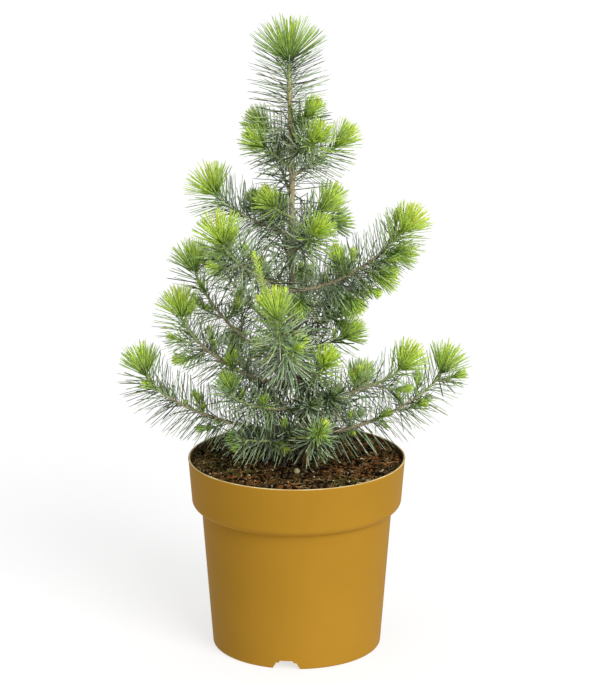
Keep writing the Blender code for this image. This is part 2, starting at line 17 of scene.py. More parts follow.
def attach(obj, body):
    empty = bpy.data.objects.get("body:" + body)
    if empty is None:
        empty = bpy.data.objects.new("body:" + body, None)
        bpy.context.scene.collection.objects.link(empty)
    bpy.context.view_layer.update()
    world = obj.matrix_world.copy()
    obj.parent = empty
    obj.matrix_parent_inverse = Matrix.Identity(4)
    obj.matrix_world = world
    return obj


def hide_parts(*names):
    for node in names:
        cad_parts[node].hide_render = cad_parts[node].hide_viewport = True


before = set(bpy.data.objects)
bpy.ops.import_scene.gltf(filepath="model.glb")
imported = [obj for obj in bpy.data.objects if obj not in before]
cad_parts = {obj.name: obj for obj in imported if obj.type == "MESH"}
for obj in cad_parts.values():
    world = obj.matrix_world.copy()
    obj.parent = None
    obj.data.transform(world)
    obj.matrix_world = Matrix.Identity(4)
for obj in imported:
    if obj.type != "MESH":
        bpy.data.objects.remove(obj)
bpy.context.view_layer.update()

UP = Vector((0, 0, 1))
LITTER_SEED, NEEDLE_SEED, TWIG_FRESH_SEED = 11, 41, 5
GAP = 0.0003  # between the solid of a bare limb and that of its mass
GOLDEN_ANGLE = math.radians(137.5)

# Pot
POT_HEIGHT = 0.1705
RIM_RADIUS = 0.095
COLLAR_FOOT_RADIUS = 0.0918
COLLAR_FOOT_HEIGHT = 0.133
BODY_TOP_RADIUS = 0.0836
BODY_TOP_HEIGHT = 0.126
BODY_TOP_CURVE = ((0.0006, 0.006), (0.0002, 0.0015))  # in and down from the body's top
BASE_RADIUS = 0.0742
BASE_ROUND = 0.0022
POT_WALL = 0.0018
POT_FLOOR = 0.0025
FLOOR_ROUND = 0.0015
INNER_STEP_SHARE, INNER_STEP_RISE = 0.7, 0.004  # the bend behind the step
POT_SIDES = 192
MERGE_DISTANCE = 0.00002
SHARP_ANGLE = 32  # edges sharper than this, in degrees, stay hard
LIP_LEAN, LIP_DROP = 0.0005, 0.0035  # where the lip begins, in and down from the rim
LIP_HIGHLIGHT_DEPTH = 0.00035  # depth of the pale band along the lip, a painted highlight
CHANNEL_COUNT = 3
CHANNEL_AZIMUTH = 263
CHANNEL_HEIGHT = 0.008
CHANNEL_TOP_WIDTH = 0.0155
CHANNEL_FOOT_WIDTH = 0.0245
CHANNEL_INNER_END = 0.048
CHANNEL_ROUND = 0.0022
DRAIN_RADIUS = 0.004
DRAIN_PLACE = 0.059

# Soil
SOIL_TOP = POT_HEIGHT - 0.0065
SOIL_RADIUS = RIM_RADIUS - POT_WALL - 0.0012
SOIL_DEPTH = 0.012
SOIL_RINGS, SOIL_SIDES = 84, 220
SOIL_LAYERS = ((38, 0.0012), (150, 0.0018), (420, 0.0014))  # how fine and how high its crumbs are
MOUND_RISE, MOUND_SPREAD = 0.0016, 0.0009
EDGE_RISE, EDGE_START = 0.0032, 0.045
EDGE_DROP, EDGE_RINGS = 0.0012, 6  # the outermost rings turn down to the pot's wall
BACK_RISE, BACK_START, BACK_REACH = 0.0018, 0.01, 0.06  # it rises a little toward the back
SOIL_SINK = 0.0006
SOIL_FOOT_INSET = 0.001

# Trunk, by height above the soil
TRUNK_HEIGHT = 0.331
TRUNK_FOOT_OFFSET = 0.0065
LOWER_BEND, LOWER_BEND_TOP = 0.0105, 0.17
UPPER_BEND, UPPER_BEND_FOOT, UPPER_BEND_TOP = 0.0025, 0.26, 0.36
TRUNK_FOOT_RADIUS = 0.0029
TRUNK_MEAN_RADIUS = 0.0035
TRUNK_TAPER = 0.0024
ROOT_FLARE, ROOT_FLARE_FADE = 0.0021, 0.025
TRUNK_STEPS = 16
TRUNK_SUNK = 0.002  # how far the bark reaches into the soil
LEADER_TOP = 0.357
TRUNK_LINE_STEPS, LEADER_LINE_STEPS = 160, 150
FLARE_LOBES, LOBE_DEPTH, LOBE_FADE = 5, 0.0011, 0.006
RIDGES, RIDGE_DEPTH, RIDGE_SWAY, RIDGE_WAVES = 7, 0.00016, 260, 420
RIDGE_FOOT, RIDGE_FADE, RIDGE_LEAST = 1.1, 0.3, 0.15  # how ridges fade up the trunk
# The bark's swelling round each limb's foot
COLLAR_RISE, COLLAR_REACH, COLLAR_LIFT, COLLAR_NARROWING = 0.0007, 0.0035, 0.001, 1.5

# Limbs
FOOT_HANDLE, TIP_HANDLE = 0.42, 0.14
LIMB_STEPS = 10
FINE_STEPS = 60
BARE_SHARE = 0.3
LIMB_TIP_RADIUS = 0.0009
LIMB_FOOT_RADIUS, LIMB_THICKENING = 0.0011, 0.0065
FOOT_SWELLING, SWELLING_FADE = 0.0009, 0.006
# Sides and distance between rings of a limb's bark, and the length behind a tip that is green
TRUNK_BARK = (48, 0.0009)
BOUGH_BARK, GREEN_BOUGH = (14, 0.0012), 0.030
TWIG_BARK, GREEN_TWIG = (8, 0.0015), 0.014
# Leaf scars on the bark: their distance along it, height and size
TRUNK_SCARS = (0.0011, 0.00022, 0.0006)
BOUGH_SCARS = (0.0016, 0.00016, 0.0005)
# How bark closes at a tip: over what length, and down to what share before the root is taken
LEADER_CLOSING, BOUGH_CLOSING, TWIG_CLOSING = (0.012, 0.15), (0.004, 0.2), (0.003, 0.25)

# Twigs
SHORT_STEM_SHARE, LONG_STEM = 0.45, 0.075
TWIG_PITCH = 0.022
TWIGLESS_LENGTH = 0.05
SPARE_TWIG = 0.7
TWIG_LEAN = 50
TWIG_LENGTH, TWIG_SHORTENING = 0.03, 0.45
TWIG_VARIETY = (0.45, 1.15)
TWIG_RISE = 0.5
TWIG_RADIUS, TWIG_TAPER = 0.0009, 0.25
TWIG_ROOM = 0.011
LIMB_MARGIN = 0.0018
POT_MARGIN = 0.0018
SPINE_PITCH = 0.0015

# Needles
NEEDLE_LENGTH, TIP_NEEDLE_LENGTH = 0.031, 0.027
NEEDLE_GROWTH = 0.015
NEEDLE_WIDTH, NEEDLE_KEEL = 0.00112, 0.00086
RING_PLACES = np.array([0.0, 0.4, 0.92])
RING_WIDTHS = np.array([0.75, 1.0, 0.8])
TRUNK_NEEDLE_SHARE, LEADER_NEEDLE_SHARE = 1.1, 1.2
LEADER_FOOT = 0.27
# The share of needles that still stand on the trunk, by height above the soil
TRUNK_NEEDLE_HEIGHTS = (0.03, 0.12, 0.25, 0.31, 0.357)
TRUNK_NEEDLE_SHARES = (0.10, 0.20, 0.30, 0.75, 1.0)
# How far needles lean off their stem, in degrees, at distances behind a growing tip
LEAN_PLACES = (0.0, 0.006, 0.020, 0.045, 0.090)
LEANS = (44, 56, 64, 72, 76)
LEADER_LEANS = (60, 67, 74, 82, 87)
# How many needles stand on each metre of stem, and how many in the open bunch on its tip
LEADER_CROWD, FRONT_CROWD, BACK_CROWD, TWIG_CROWD, SPUR_CROWD = 3500, 2020, 1080, 1500, 2600
LEADER_BUNCH, BOUGH_BUNCH, SHOOT_BUNCH, TWIG_BUNCH = 170, 95, 72, 26
LEADER_BUNCH_LENGTH, BUNCH_LENGTH, TWIG_BUNCH_LENGTH = 0.039, 0.029, 0.015
TWIG_BUNCH_CONE = 22
BUNCH_DEPTH = 0.002  # the length at a tip that its bunch stands on
DULL_BUNCH_SHARE = 0.65  # how long the needles of a dull bunch are, by a fresh one's
# The needles in a short shoot's bunch and its cone, and how both grow with the needles' length
SPUR_BUNCH, SPUR_BUNCH_GROWTH, SPUR_CONE, SPUR_CONE_GROWTH = 8, 2200, 16, 1200
# The length without needles at the foot of a limb, a twig and a short shoot
BARE_LIMB_FOOT, BARE_TWIG_FOOT, BARE_SPUR_FOOT = 0.006, 0.003, 0.001
BACK_DEPTH = 0.02  # a limb whose tip lies farther back than this is behind the trunk
# How much needles differ among themselves
PLACE_SPREAD, TURN_SPREAD, LEAN_SPREAD, BUNCH_SPREAD = 0.8, 0.1, 2.8, 2.5
LENGTH_VARIETY, BUNCH_VARIETY, WIDTH_VARIETY = (0.89, 1.05), (0.86, 1.03), (0.85, 1.15)
ROLL_HOLD, ROLL_SPREAD = 0.9, 0.35
BEND_FORWARD, BEND_SPREAD = 0.05, 0.02
SAG, OLD_SAG, OLD_SAG_REACH = 0.01, 0.05, 0.03  # needles sink by their weight, old ones more
# A needle's age runs from 0, lime, to 1, old: at a tip, how much less it is at a fresh one,
# and the reach behind a tip, longer on a fresh one, over which it gains AGE_GAIN
TIP_AGE, FRESH_TIP = 0.78, 0.15
OLD_REACH, FRESH_REACH, AGE_GAIN = 0.010, 0.012, 0.5
AGE_SPREAD = 0.1
BUNCH_AGE, BUNCH_AGE_RISE = 0.45, 0.6  # in the middle of a bunch, and from there to its edge
# A twig's freshness: its share of the limb's and what chance adds
TWIG_FRESH_SHARE, TWIG_FRESH = 0.4, (0.1, 0.5)
# The share of a tip's freshness that needles along a twig or a short shoot have
TWIG_SIDE_FRESH, SPUR_SIDE_FRESH = 0.5, 0.65
# Needles are bent up where they would touch the soil or the pot's rim
SOIL_CLEARANCE, ROOT_CLEARANCE, RIM_CLEARANCE, RIM_BAND = 0.003, 0.004, 0.002, 0.006

# A limb: the height of its foot above the soil, the way it points, its reach and rise, its slope
# in degrees where it leaves and where it ends, and the seed of its twigs. Then its needles: how
# fresh they are at its tip, from 0 (dark green) to 1 (all lime), how densely they stand, how far
# the bunch on its tip opens in degrees, and how long they are.
LIMB_FIELDS = "name height azimuth reach rise leave finish seed fresh density cone size"
Limb = namedtuple("Limb", LIMB_FIELDS, defaults=[1.0])
BOUGHS = (
    Limb("low_left", 0.031, 186, 0.137, 0.055, -4, 82, 197, 0.5, 1.2, 50),
    Limb("low_right", 0.027, 2, 0.120, 0.055, -3, 74, 377, 0.75, 0.8, 48),
    Limb("low_front", 0.016, 283, 0.055, 0.028, 15, 15, 0, -0.15, 1.1, 66),
    Limb("low_back_right", 0.030, 62, 0.105, 0.014, 0, 60, 199, 0.4, 1.0, 46),
    Limb("low_back_left", 0.042, 122, 0.108, 0.035, 0, 70, 134, 0.3, 1.0, 46),
    Limb("lower_front_left", 0.050, 219, 0.078, 0.030, 5, 82, 252, 0.1, 1.0, 50),
    Limb("lower_right", 0.055, 346, 0.089, 0.038, 12, 62, 91, 1.0, 0.8, 50),
    Limb("lower_front_right", 0.071, 295, 0.048, 0.030, 10, 48, 0, 1.0, 1.1, 38, 1.05),
    Limb("lower_left", 0.072, 191, 0.103, 0.067, -3, 86, 140, 0.9, 1.26, 52),
    Limb("lower_back", 0.085, 88, 0.104, 0.049, 8, 70, 208, 0.3, 1.0, 46),
    Limb("middle_left", 0.084, 167, 0.092, 0.085, 15, 82, 113, 0.5, 1.3, 52),
    Limb("middle_right", 0.101, 22, 0.045, 0.009, 12, 35, 0, 0.8, 1.0, 46, 1.15),
    Limb("middle_back_left", 0.112, 138, 0.086, 0.053, 12, 75, 194, 0.2, 0.8, 46),
    Limb("middle_front", 0.098, 260, 0.095, 0.0575, -8, 88, 107, 1.0, 1.15, 36),
    Limb("middle_back_right", 0.130, 60, 0.080, 0.018, 8, 60, 393, 0.3, 1.1, 48, 1.05),
    Limb("upper_front_left", 0.157, 226, 0.084, 0.056, 18, 78, 91, 1.0, 1.3, 60, 1.05),
    Limb("upper_right", 0.156, 354, 0.095, 0.055, 2, 58, 309, 1.5, 1.4, 44),
    Limb("upper_back", 0.170, 98, 0.074, 0.038, 15, 70, 299, 0.2, 0.9, 46),
    Limb("upper_back_right", 0.196, 55, 0.050, 0.024, 20, 45, 0, 1.0, 1.3, 40, 1.25),
    Limb("upper_left", 0.204, 176, 0.066, 0.037, 20, 80, 0, 1.0, 1.6, 58, 1.22),
)
SHOOTS = (
    Limb("foot_front", 0.020, 207, 0.060, 0.010, 8, 20, 0, -0.6, 1.0, 46),
    Limb("high_front_right", 0.190, 299, 0.038, 0.022, 25, 42, 0, 1.0, 1.2, 32, 1.18),
    Limb("high_back_left", 0.214, 146, 0.034, 0.010, 30, 65, 0, 0.3, 1.2, 46, 1.1),
    Limb("high_right", 0.208, 5, 0.025, 0.018, 25, 42, 0, 0.7, 1.2, 44, 1.15),
    Limb("high_front_left", 0.219, 222, 0.022, 0.015, 35, 68, 0, 0.75, 1.2, 46, 1.15),
    Limb("high_back", 0.236, 105, 0.042, 0.025, 35, 70, 0, 0.1, 1.0, 44),
    Limb("top_right", 0.256, 3, 0.037, 0.026, 30, 45, 0, 1.0, 1.3, 34, 1.18),
    Limb("top_left", 0.264, 202, 0.026, 0.020, 35, 42, 0, 0.5, 1.4, 46, 1.2),
    Limb("top_back", 0.268, 75, 0.030, 0.022, 42, 70, 0, 0.2, 1.0, 44),
    Limb("top_front_right", 0.274, 302, 0.034, 0.018, 30, 55, 0, 1.0, 1.2, 33, 1.18),
    Limb("top_back_left", 0.282, 158, 0.025, 0.015, 38, 52, 0, 0.55, 1.4, 46, 1.18),
    Limb("peak_front_right", 0.295, 323, 0.016, 0.015, 40, 55, 0, 1.0, 1.2, 31, 1.22),
)
LIMBS = BOUGHS + SHOOTS
LEADER_FRESH, LEADER_DENSITY, LEADER_CONE = 0.22, 1.28, 64

# Short shoots on the limbs: the limb's name, and for each shoot the share of the limb at its
# foot, the way it points, its slope, its own length, that of its needles, and how fresh they are
Spur = namedtuple("Spur", "limb place azimuth rise length needles fresh", defaults=[0.95])
SPUR_RUNS = (
    ("upper_front_left", (0.34, 218, 60, 0.014, 0.012)),
    ("middle_left", (0.60, 337, 44, 0.015, 0.013), (0.69, 197, 5, 0.006, 0.007)),
    (
        "lower_left",
        (0.65, 296, 71, 0.010, 0.006), (0.52, 328, 57, 0.005, 0.012),
        (0.30, 205, -20, 0.004, 0.004), (0.70, 195, -34, 0.020, 0.014),
    ),
    ("lower_front_left", (0.80, 274, 73, 0.008, 0.006)),
    (
        "low_left",
        (0.71, 337, 40, 0.003, 0.005), (0.58, 268, 73, 0.006, 0.007),
        (0.47, 213, -20, 0.004, 0.005), (0.19, 282, 73, 0.014, 0.010),
    ),
    ("middle_front", (0.55, 340, 20, 0.014, 0.014)),
    (
        "upper_right",
        (0.42, 219, 63, 0.015, 0.019), (0.65, 338, -39, 0.014, 0.015),
        (0.49, 333, -50, 0.022, 0.012, 0.8), (0.38, 322, -62, 0.020, 0.018, 0.6),
    ),
    ("lower_right", (0.52, 242, 71, 0.009, 0.013)),
    ("low_right", (0.65, 227, 67, 0.010, 0.009)),
    ("lower_right", (0.19, 299, 71, 0.004, 0.005)),
    (
        "low_right",
        (0.49, 322, -50, 0.008, 0.006), (0.28, 325, -40, 0.006, 0.005),
        (0.31, 246, 72, 0.012, 0.006), (0.71, 342, -20, 0.009, 0.010),
    ),
    ("middle_right", (0.80, 247, 72, 0.009, 0.004)),
    ("foot_front", (0.55, 340, -40, 0.010, 0.012, 1.4)),
    ("low_front", (0.98, 345, 50, 0.004, 0.012, 1.3)),
    ("lower_right", (0.12, 300, 8, 0.030, 0.021, -0.8), (0.06, 275, -6, 0.024, 0.022, -0.9)),
    ("middle_front", (0.97, 172, 68, 0.060, 0.0045, 5.0), (0.97, 195, 46, 0.022, 0.009, 3.0)),
    ("upper_back_right", (0.72, 358, -28, 0.012, 0.024, 0.1)),
    ("upper_right", (0.05, 272, -45, 0.014, 0.020, 0.2)),
    (
        "middle_back_right",
        (0.75, 300, -35, 0.024, 0.016, 0.55), (0.55, 320, -50, 0.026, 0.016, 0.5),
        (0.90, 0, -30, 0.018, 0.016, 0.6),
    ),
    (
        "upper_right",
        (0.76, 0, -25, 0.010, 0.024, 0.6), (0.57, 350, -40, 0.014, 0.024, 0.6),
        (0.30, 345, -62, 0.018, 0.022, 0.5),
    ),
)
SPURS = [Spur(limb, *values) for limb, *shoots in SPUR_RUNS for values in shoots]

# The colours of needles, from a growing tip back to old wood
# Grey green is partly a painted highlight; slate, deep olive and dark slate are partly painted
# shade.
TINTS = (
    ("needles_bright_lime", (220, 243, 98)),
    ("needles_lime", (200, 230, 92)),
    ("needles_fresh_green", (180, 208, 94)),
    ("needles_green", (150, 182, 98)),
    ("needles_blue_green", (159, 187, 142)),
    ("needles_grey_green", (196, 208, 172)),
    ("needles_slate", (100, 105, 98)),
    ("needles_dull_olive", (146, 152, 90)),
    ("needles_deep_olive", (76, 92, 42)),
    ("needles_dark_slate", (44, 52, 38)),
)
DARK_SHARE, LIGHT_SHARE = 0.84, 1.1  # how far a needle's own colour varies from its tint
OLD = 4  # the first of the tints that old needles have
# The share of old needles up to which each of these tints is dealt out
OLD_TINTS = ((0.34, 4), (0.54, 5), (0.72, 6), (0.80, 7), (0.89, 8), (1.0, 9))

# The pot's materials: name, colour, roughness, the noise that varies the colour, and the colours
# it varies between, by their place on a ramp
POT_OUTSIDE = (
    "pot_gold_plastic", (162, 119, 35), 0.55, (9, 4, 0.55), (0.3, 157, 116, 32), (0.7, 167, 123, 38)
)
POT_INSIDE = (
    "pot_brown_inside", (62, 42, 22), 0.6, (60, 5, 0.6), (0.3, 54, 37, 20), (0.7, 100, 70, 38)
)
# The lip's pale cream colour is a painted highlight along the rim's top edge.
POT_LIP_HIGHLIGHT = (
    "pot_lip_painted_highlight", (214, 188, 122), 0.45, (55, 4, 0.6), (0.3, 190, 158, 92), (0.7, 232, 212, 158)
)

# Colours of bark, by the place on a ramp
TRUNK_COLOURS = (
    (0.0, 132, 84, 36),
    (0.15, 124, 100, 70),
    (0.42, 134, 122, 94),
    (0.6, 184, 174, 144),
    (0.9, 226, 210, 162),
    (1.0, 178, 204, 130),
)
TRUNK_CRACKS = (
    (0.0, 76, 44, 18),
    (0.15, 96, 76, 52),
    (0.45, 104, 94, 70),
    (0.65, 142, 132, 104),
    (0.85, 172, 158, 120),
    (1.0, 146, 164, 104),
)
BOUGH_COLOURS = ((0.3, 148, 134, 106), (0.5, 184, 171, 140), (0.7, 208, 196, 164))
YOUNG_COLOURS = ((0.3, 138, 156, 96), (0.5, 168, 184, 122), (0.7, 192, 200, 146))

# What lies on the soil: name, how many, sizes, flatness, dark and light colours, and the patches
# it lies in as (x, y, radius)
ALL_OVER = ((0, 0, RIM_RADIUS - POT_WALL - 0.004),)
MOSS_PATCHES = (
    (-0.074, 0.020, 0.016),
    (-0.066, -0.006, 0.020),
    (-0.050, -0.026, 0.012),
    (0.040, -0.058, 0.014),
    (0.010, 0.060, 0.022),
)
RUST_PATCHES = (
    (-0.042, -0.050, 0.017),
    (0.068, 0.000, 0.020),
    (0.046, -0.030, 0.022),
    (-0.006, -0.074, 0.012),
)
LITTER = (
    ("soil_black_crumbs", 1000, (0.0006, 0.0026), 0.7, (8, 5, 1), (30, 19, 8), ALL_OVER),
    ("soil_brown_crumbs", 900, (0.0004, 0.0018), 0.6, (48, 32, 14), (104, 74, 38), ALL_OVER),
    ("soil_bark_chips", 170, (0.0008, 0.0028), 0.35, (84, 54, 24), (150, 106, 62), ALL_OVER),
    ("soil_rust_chips", 640, (0.0005, 0.0019), 0.4, (98, 58, 25), (158, 104, 54), RUST_PATCHES),
    ("soil_moss", 900, (0.0004, 0.0014), 0.6, (38, 44, 14), (104, 108, 52), MOSS_PATCHES),
    ("soil_grey_crumbs", 200, (0.0005, 0.0018), 0.5, (100, 90, 68), (176, 164, 130), ALL_OVER),
    ("soil_pale_specks", 190, (0.0004, 0.0014), 0.6, (170, 156, 118), (232, 222, 186), ALL_OVER),
)
# Fibres: name, how many, lengths, dark and light colours
FIBRES = (
    ("soil_straw", 150, (0.005, 0.022), (140, 112, 68), (198, 166, 112)),
    ("soil_roots", 150, (0.004, 0.012), (72, 42, 20), (128, 76, 36)),
)
FIBRE_REACH, FIBRE_HEIGHT = RIM_RADIUS - POT_WALL - 0.011, 0.0009
FIBRE_STEPS, FIBRE_THICKNESS = 6, (0.00018, 0.00038)
FIBRE_BEND, FIBRE_LIFT = (-0.9, 0.9), (-0.06, 0.22)
FIBRE_TAPER, FIBRE_FLATNESS = 0.6, 0.7
# How crumbs lie and differ: in size, length, breadth, the roughness of their shape, and tilt
CRUMB_LIFT, CRUMB_SIZES = 0.6, (0.6, 1)
CRUMB_LENGTHS, CRUMB_BREADTHS = (0.8, 1.7), (0.5, 1.0)
CRUMB_ROUGHNESS, CRUMB_TILTS = (0.7, 1.25), (-0.5, 0.5)
# Pale beads: (x, y, radius), how high they lie by their radius, and how uneven they are
BEADS = ((0.0002, -0.0310, 0.0027), (0.041, 0.030, 0.0016), (-0.030, 0.055, 0.0015))
BEAD_LIFT, BEAD_UNEVENNESS = 0.55, 0.12


def lerp(low, high, share):
    return low + (high - low) * share


def smooth(share):
    share = min(max(share, 0.0), 1.0)
    return share * share * (3 - 2 * share)


def outward(degrees):
    return Vector((math.cos(math.radians(degrees)), math.sin(math.radians(degrees)), 0))


def slope(out, degrees):
    return out * math.cos(math.radians(degrees)) + UP * math.sin(math.radians(degrees))


# Objects, meshes and materials


def add_object(name, data):
    """A new object in the scene."""
    obj = bpy.data.objects.new(name, data)
    bpy.context.scene.collection.objects.link(obj)
    return obj


def piece(name, mesh, slot, nodes, *materials):
    """A shown piece of the plant: it rides on the root body and stands for the nodes named."""
    obj = add_object(name, mesh)
    for material in materials:
        mesh.materials.append(material)
    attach(obj, "root")
    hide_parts(*nodes)
    return obj


def mesh_of(name, points, faces, rounded=True):
    """A mesh from an array of points and one of triangles."""
    mesh = bpy.data.meshes.new(name)
    mesh.from_pydata(points, (), faces)
    mesh.validate()
    if rounded:
        mesh.shade_smooth()
    return mesh


def mesh_from(shape, name):
    """A mesh with a bmesh's shape. The bmesh is freed."""
    mesh = bpy.data.meshes.new(name)
    shape.to_mesh(mesh)
    shape.free()
    return mesh


def band(rings, sides, first=0):
    """Triangles between rings of points that follow one another."""
    i, k = np.meshgrid(np.arange(rings - 1), np.arange(sides), indexing="ij")
    a, b = first + i * sides + k, first + i * sides + (k + 1) % sides
    halves = (a, b, b + sides), (a, b + sides, a + sides)
    return np.concatenate([np.stack(half, 2).reshape(-1, 3) for half in halves])


def cap(middle, first, sides):
    """Triangles from a middle point to the ring that begins with a first point."""
    ring = first + np.arange(sides)
    return np.stack([np.full(sides, middle), ring, np.roll(ring, -1)], 1)


def shade(*parts):
    """A linear colour from sRGB values of 0 to 255."""
    return tuple(
        value / 255 / 12.92 if value <= 10 else ((value / 255 + 0.055) / 1.055) ** 2.4
        for value in parts
    )


class Shader:
    """A Principled material and short calls for what feeds it. Its colours are sRGB values."""

    def __init__(self, name, colour, roughness):
        self.material = bpy.data.materials.new(name)
        self.material.use_nodes = True
        self.tree = self.material.node_tree
        self.principled = self.tree.nodes["Principled BSDF"]
        self.set(Base_Color=(*shade(*colour), 1), Roughness=roughness)
        self.place = self.node("TexCoord", "Object")

    def feed(self, sockets, values):
        """Gives each input socket its value, or a link where the value is a node's output."""
        for key, value in values.items():
            socket = sockets[key.replace("_", " ")]
            if isinstance(value, bpy.types.NodeSocket):
                self.tree.links.new(value, socket)
            else:
                socket.default_value = value

    def set(self, **values):
        self.feed(self.principled.inputs, values)

    def node(self, kind, output, **values):
        """An output of a new node that has the values named."""
        made = self.tree.nodes.new("ShaderNode" + kind)
        self.feed(made.inputs, values)
        return made.outputs[output]

    def noise(self, scale, detail=3, roughness=0.5, stretch=None):
        place = self.place
        if stretch:
            place = self.node("Mapping", "Vector", Vector=place, Scale=stretch)
        values = {"Scale": scale, "Detail": detail, "Roughness": roughness}
        return self.node("TexNoise", "Fac", Vector=place, **values)

    def levels(self, value, low, high):
        """A value from 0..1 spread over low..high."""
        return self.node("MapRange", "Result", Value=value, To_Min=low, To_Max=high)

    def ramp(self, value, *stops):
        """A colour ramp with stops of (place, red, green, blue)."""
        colours = self.node("ValToRGB", "Color", Fac=value)
        elements = colours.node.color_ramp.elements
        while len(elements) < len(stops):
            elements.new(0.5)
        for element, (place, *colour) in zip(elements, stops):
            element.position = place
            element.color = (*shade(*colour), 1)
        return colours

    def mix(self, factor, first, second):
        made = self.tree.nodes.new("ShaderNodeMix")
        made.data_type = "RGBA"
        for index, value in ((0, factor), (6, first), (7, second)):
            self.tree.links.new(value, made.inputs[index])
        return made.outputs[2]

    def bump(self, height, strength, distance):
        values = {"Strength": strength, "Distance": distance}
        self.set(Normal=self.node("Bump", "Normal", Height=height, **values))


def varied(name, base, roughness, cloud, *stops, gloss=None, bump=None, specular=0.5):
    """A material that varies between colours.

    cloud is the noise that mixes them. gloss is (noise, lowest, highest roughness), and bump is
    (noise, strength, distance).
    """
    made = Shader(name, base, roughness)
    made.set(Base_Color=made.ramp(made.noise(*cloud), *stops), Specular_IOR_Level=specular)
    if gloss:
        made.set(Roughness=made.levels(made.noise(*gloss[0]), *gloss[1:]))
    if bump:
        made.bump(made.noise(*bump[0]), *bump[1:])
    return made.material


# Pot


def arc(steps, end=math.pi / 2):
    """Even turns from 0 to an end, a quarter of a circle if not said."""
    return [i / steps * end for i in range(steps + 1)]


def pot_profile():
    """The pot's outline, from the middle of its floor inside, over the rim, to its underside."""
    foot = [
        (BASE_RADIUS - BASE_ROUND * (1 - math.sin(turn)), BASE_ROUND * (1 - math.cos(turn)))
        for turn in arc(4)
    ]
    body = [(BODY_TOP_RADIUS - back, BODY_TOP_HEIGHT - down) for back, down in BODY_TOP_CURVE]
    step = [
        (
            lerp(BODY_TOP_RADIUS, COLLAR_FOOT_RADIUS, math.sin(turn)),
            lerp(BODY_TOP_HEIGHT, COLLAR_FOOT_HEIGHT, 1 - math.cos(turn)),
        )
        for turn in arc(10)[1:]
    ]
    outer = [*foot, *body, *step, (RIM_RADIUS - LIP_LEAN, POT_HEIGHT - LIP_DROP)]
    lip = POT_WALL / 2
    rim = [
        (RIM_RADIUS - lip + math.cos(turn) * lip, POT_HEIGHT - lip + math.sin(turn) * lip)
        for turn in arc(6, math.pi)
    ]
    inner_step = lerp(BODY_TOP_RADIUS, COLLAR_FOOT_RADIUS, INNER_STEP_SHARE)
    inner = [
        (0, POT_FLOOR),
        (BASE_RADIUS - POT_WALL - FLOOR_ROUND, POT_FLOOR),
        (BASE_RADIUS - POT_WALL, POT_FLOOR + FLOOR_ROUND),
        (BODY_TOP_RADIUS - POT_WALL, BODY_TOP_HEIGHT),
        (inner_step - POT_WALL, BODY_TOP_HEIGHT + INNER_STEP_RISE),
        (COLLAR_FOOT_RADIUS - POT_WALL, COLLAR_FOOT_HEIGHT),
        (RIM_RADIUS - POT_WALL - LIP_LEAN, POT_HEIGHT - LIP_DROP),
    ]
    return inner + rim[::-1] + outer[::-1] + [(0, 0)]


def block(name, azimuth, ends, levels, widths, rounding=0.0):
    """A block along a radius of the pot, with sides that lean in from its foot to its top."""
    shape = bmesh.new()
    bmesh.ops.create_cube(shape, size=1)
    for corner in shape.verts:
        x, y, z = corner.co
        width = widths[1] if z > 0 else widths[0]
        corner.co = Vector((lerp(*ends, x + 0.5), y * width, lerp(*levels, z + 0.5)))
    if rounding:
        edges = [e for e in shape.edges if min(v.co.z for v in e.verts) > levels[1] - 0.0001]
        edges = [e for e in edges if abs(e.verts[0].co.x - e.verts[1].co.x) > 0.001]
        bmesh.ops.bevel(shape, geom=edges, offset=rounding, segments=4, affect="EDGES")
    turn = Matrix.Rotation(math.radians(azimuth), 3, "Z")
    bmesh.ops.rotate(shape, verts=shape.verts, matrix=turn)
    return add_object(name, mesh_from(shape, name))


def drain(azimuth):
    """The rod that cuts a drainage hole."""
    shape = bmesh.new()
    radii = {"radius1": DRAIN_RADIUS, "radius2": DRAIN_RADIUS}
    bmesh.ops.create_cone(shape, cap_ends=True, segments=32, depth=2 * CHANNEL_HEIGHT, **radii)
    centre = outward(azimuth) * DRAIN_PLACE + UP * CHANNEL_HEIGHT
    bmesh.ops.translate(shape, verts=shape.verts, vec=centre)
    return add_object("drain", mesh_from(shape, "drain"))


def apply_all(obj):
    graph = bpy.context.evaluated_depsgraph_get()
    mesh = bpy.data.meshes.new_from_object(obj.evaluated_get(graph))
    obj.modifiers.clear()
    obj.data = mesh


def boolean(obj, operation, other):
    modifier = obj.modifiers.new(operation, "BOOLEAN")
    modifier.operation = operation
    modifier.solver = "EXACT"
    modifier.object = other
    apply_all(obj)
    bpy.data.objects.remove(other)


def turned(profile):
    """The pot's outline turned round its axis to one closed shell."""
    mesh = bpy.data.meshes.new("pot_outline")
    corners = [(radius, 0, height) for radius, height in profile]
    mesh.from_pydata(corners, [(i, i + 1) for i in range(len(profile) - 1)], [])
    pot = add_object("pot_shell", mesh)
    screw = pot.modifiers.new("turn", "SCREW")
    screw.steps = screw.render_steps = POT_SIDES
    screw.use_merge_vertices = True
    screw.merge_threshold = MERGE_DISTANCE
    apply_all(pot)
    shape = bmesh.new()
    shape.from_mesh(pot.data)
    bmesh.ops.recalc_face_normals(shape, faces=shape.faces)
    shape.to_mesh(pot.data)
    shape.free()
    return pot


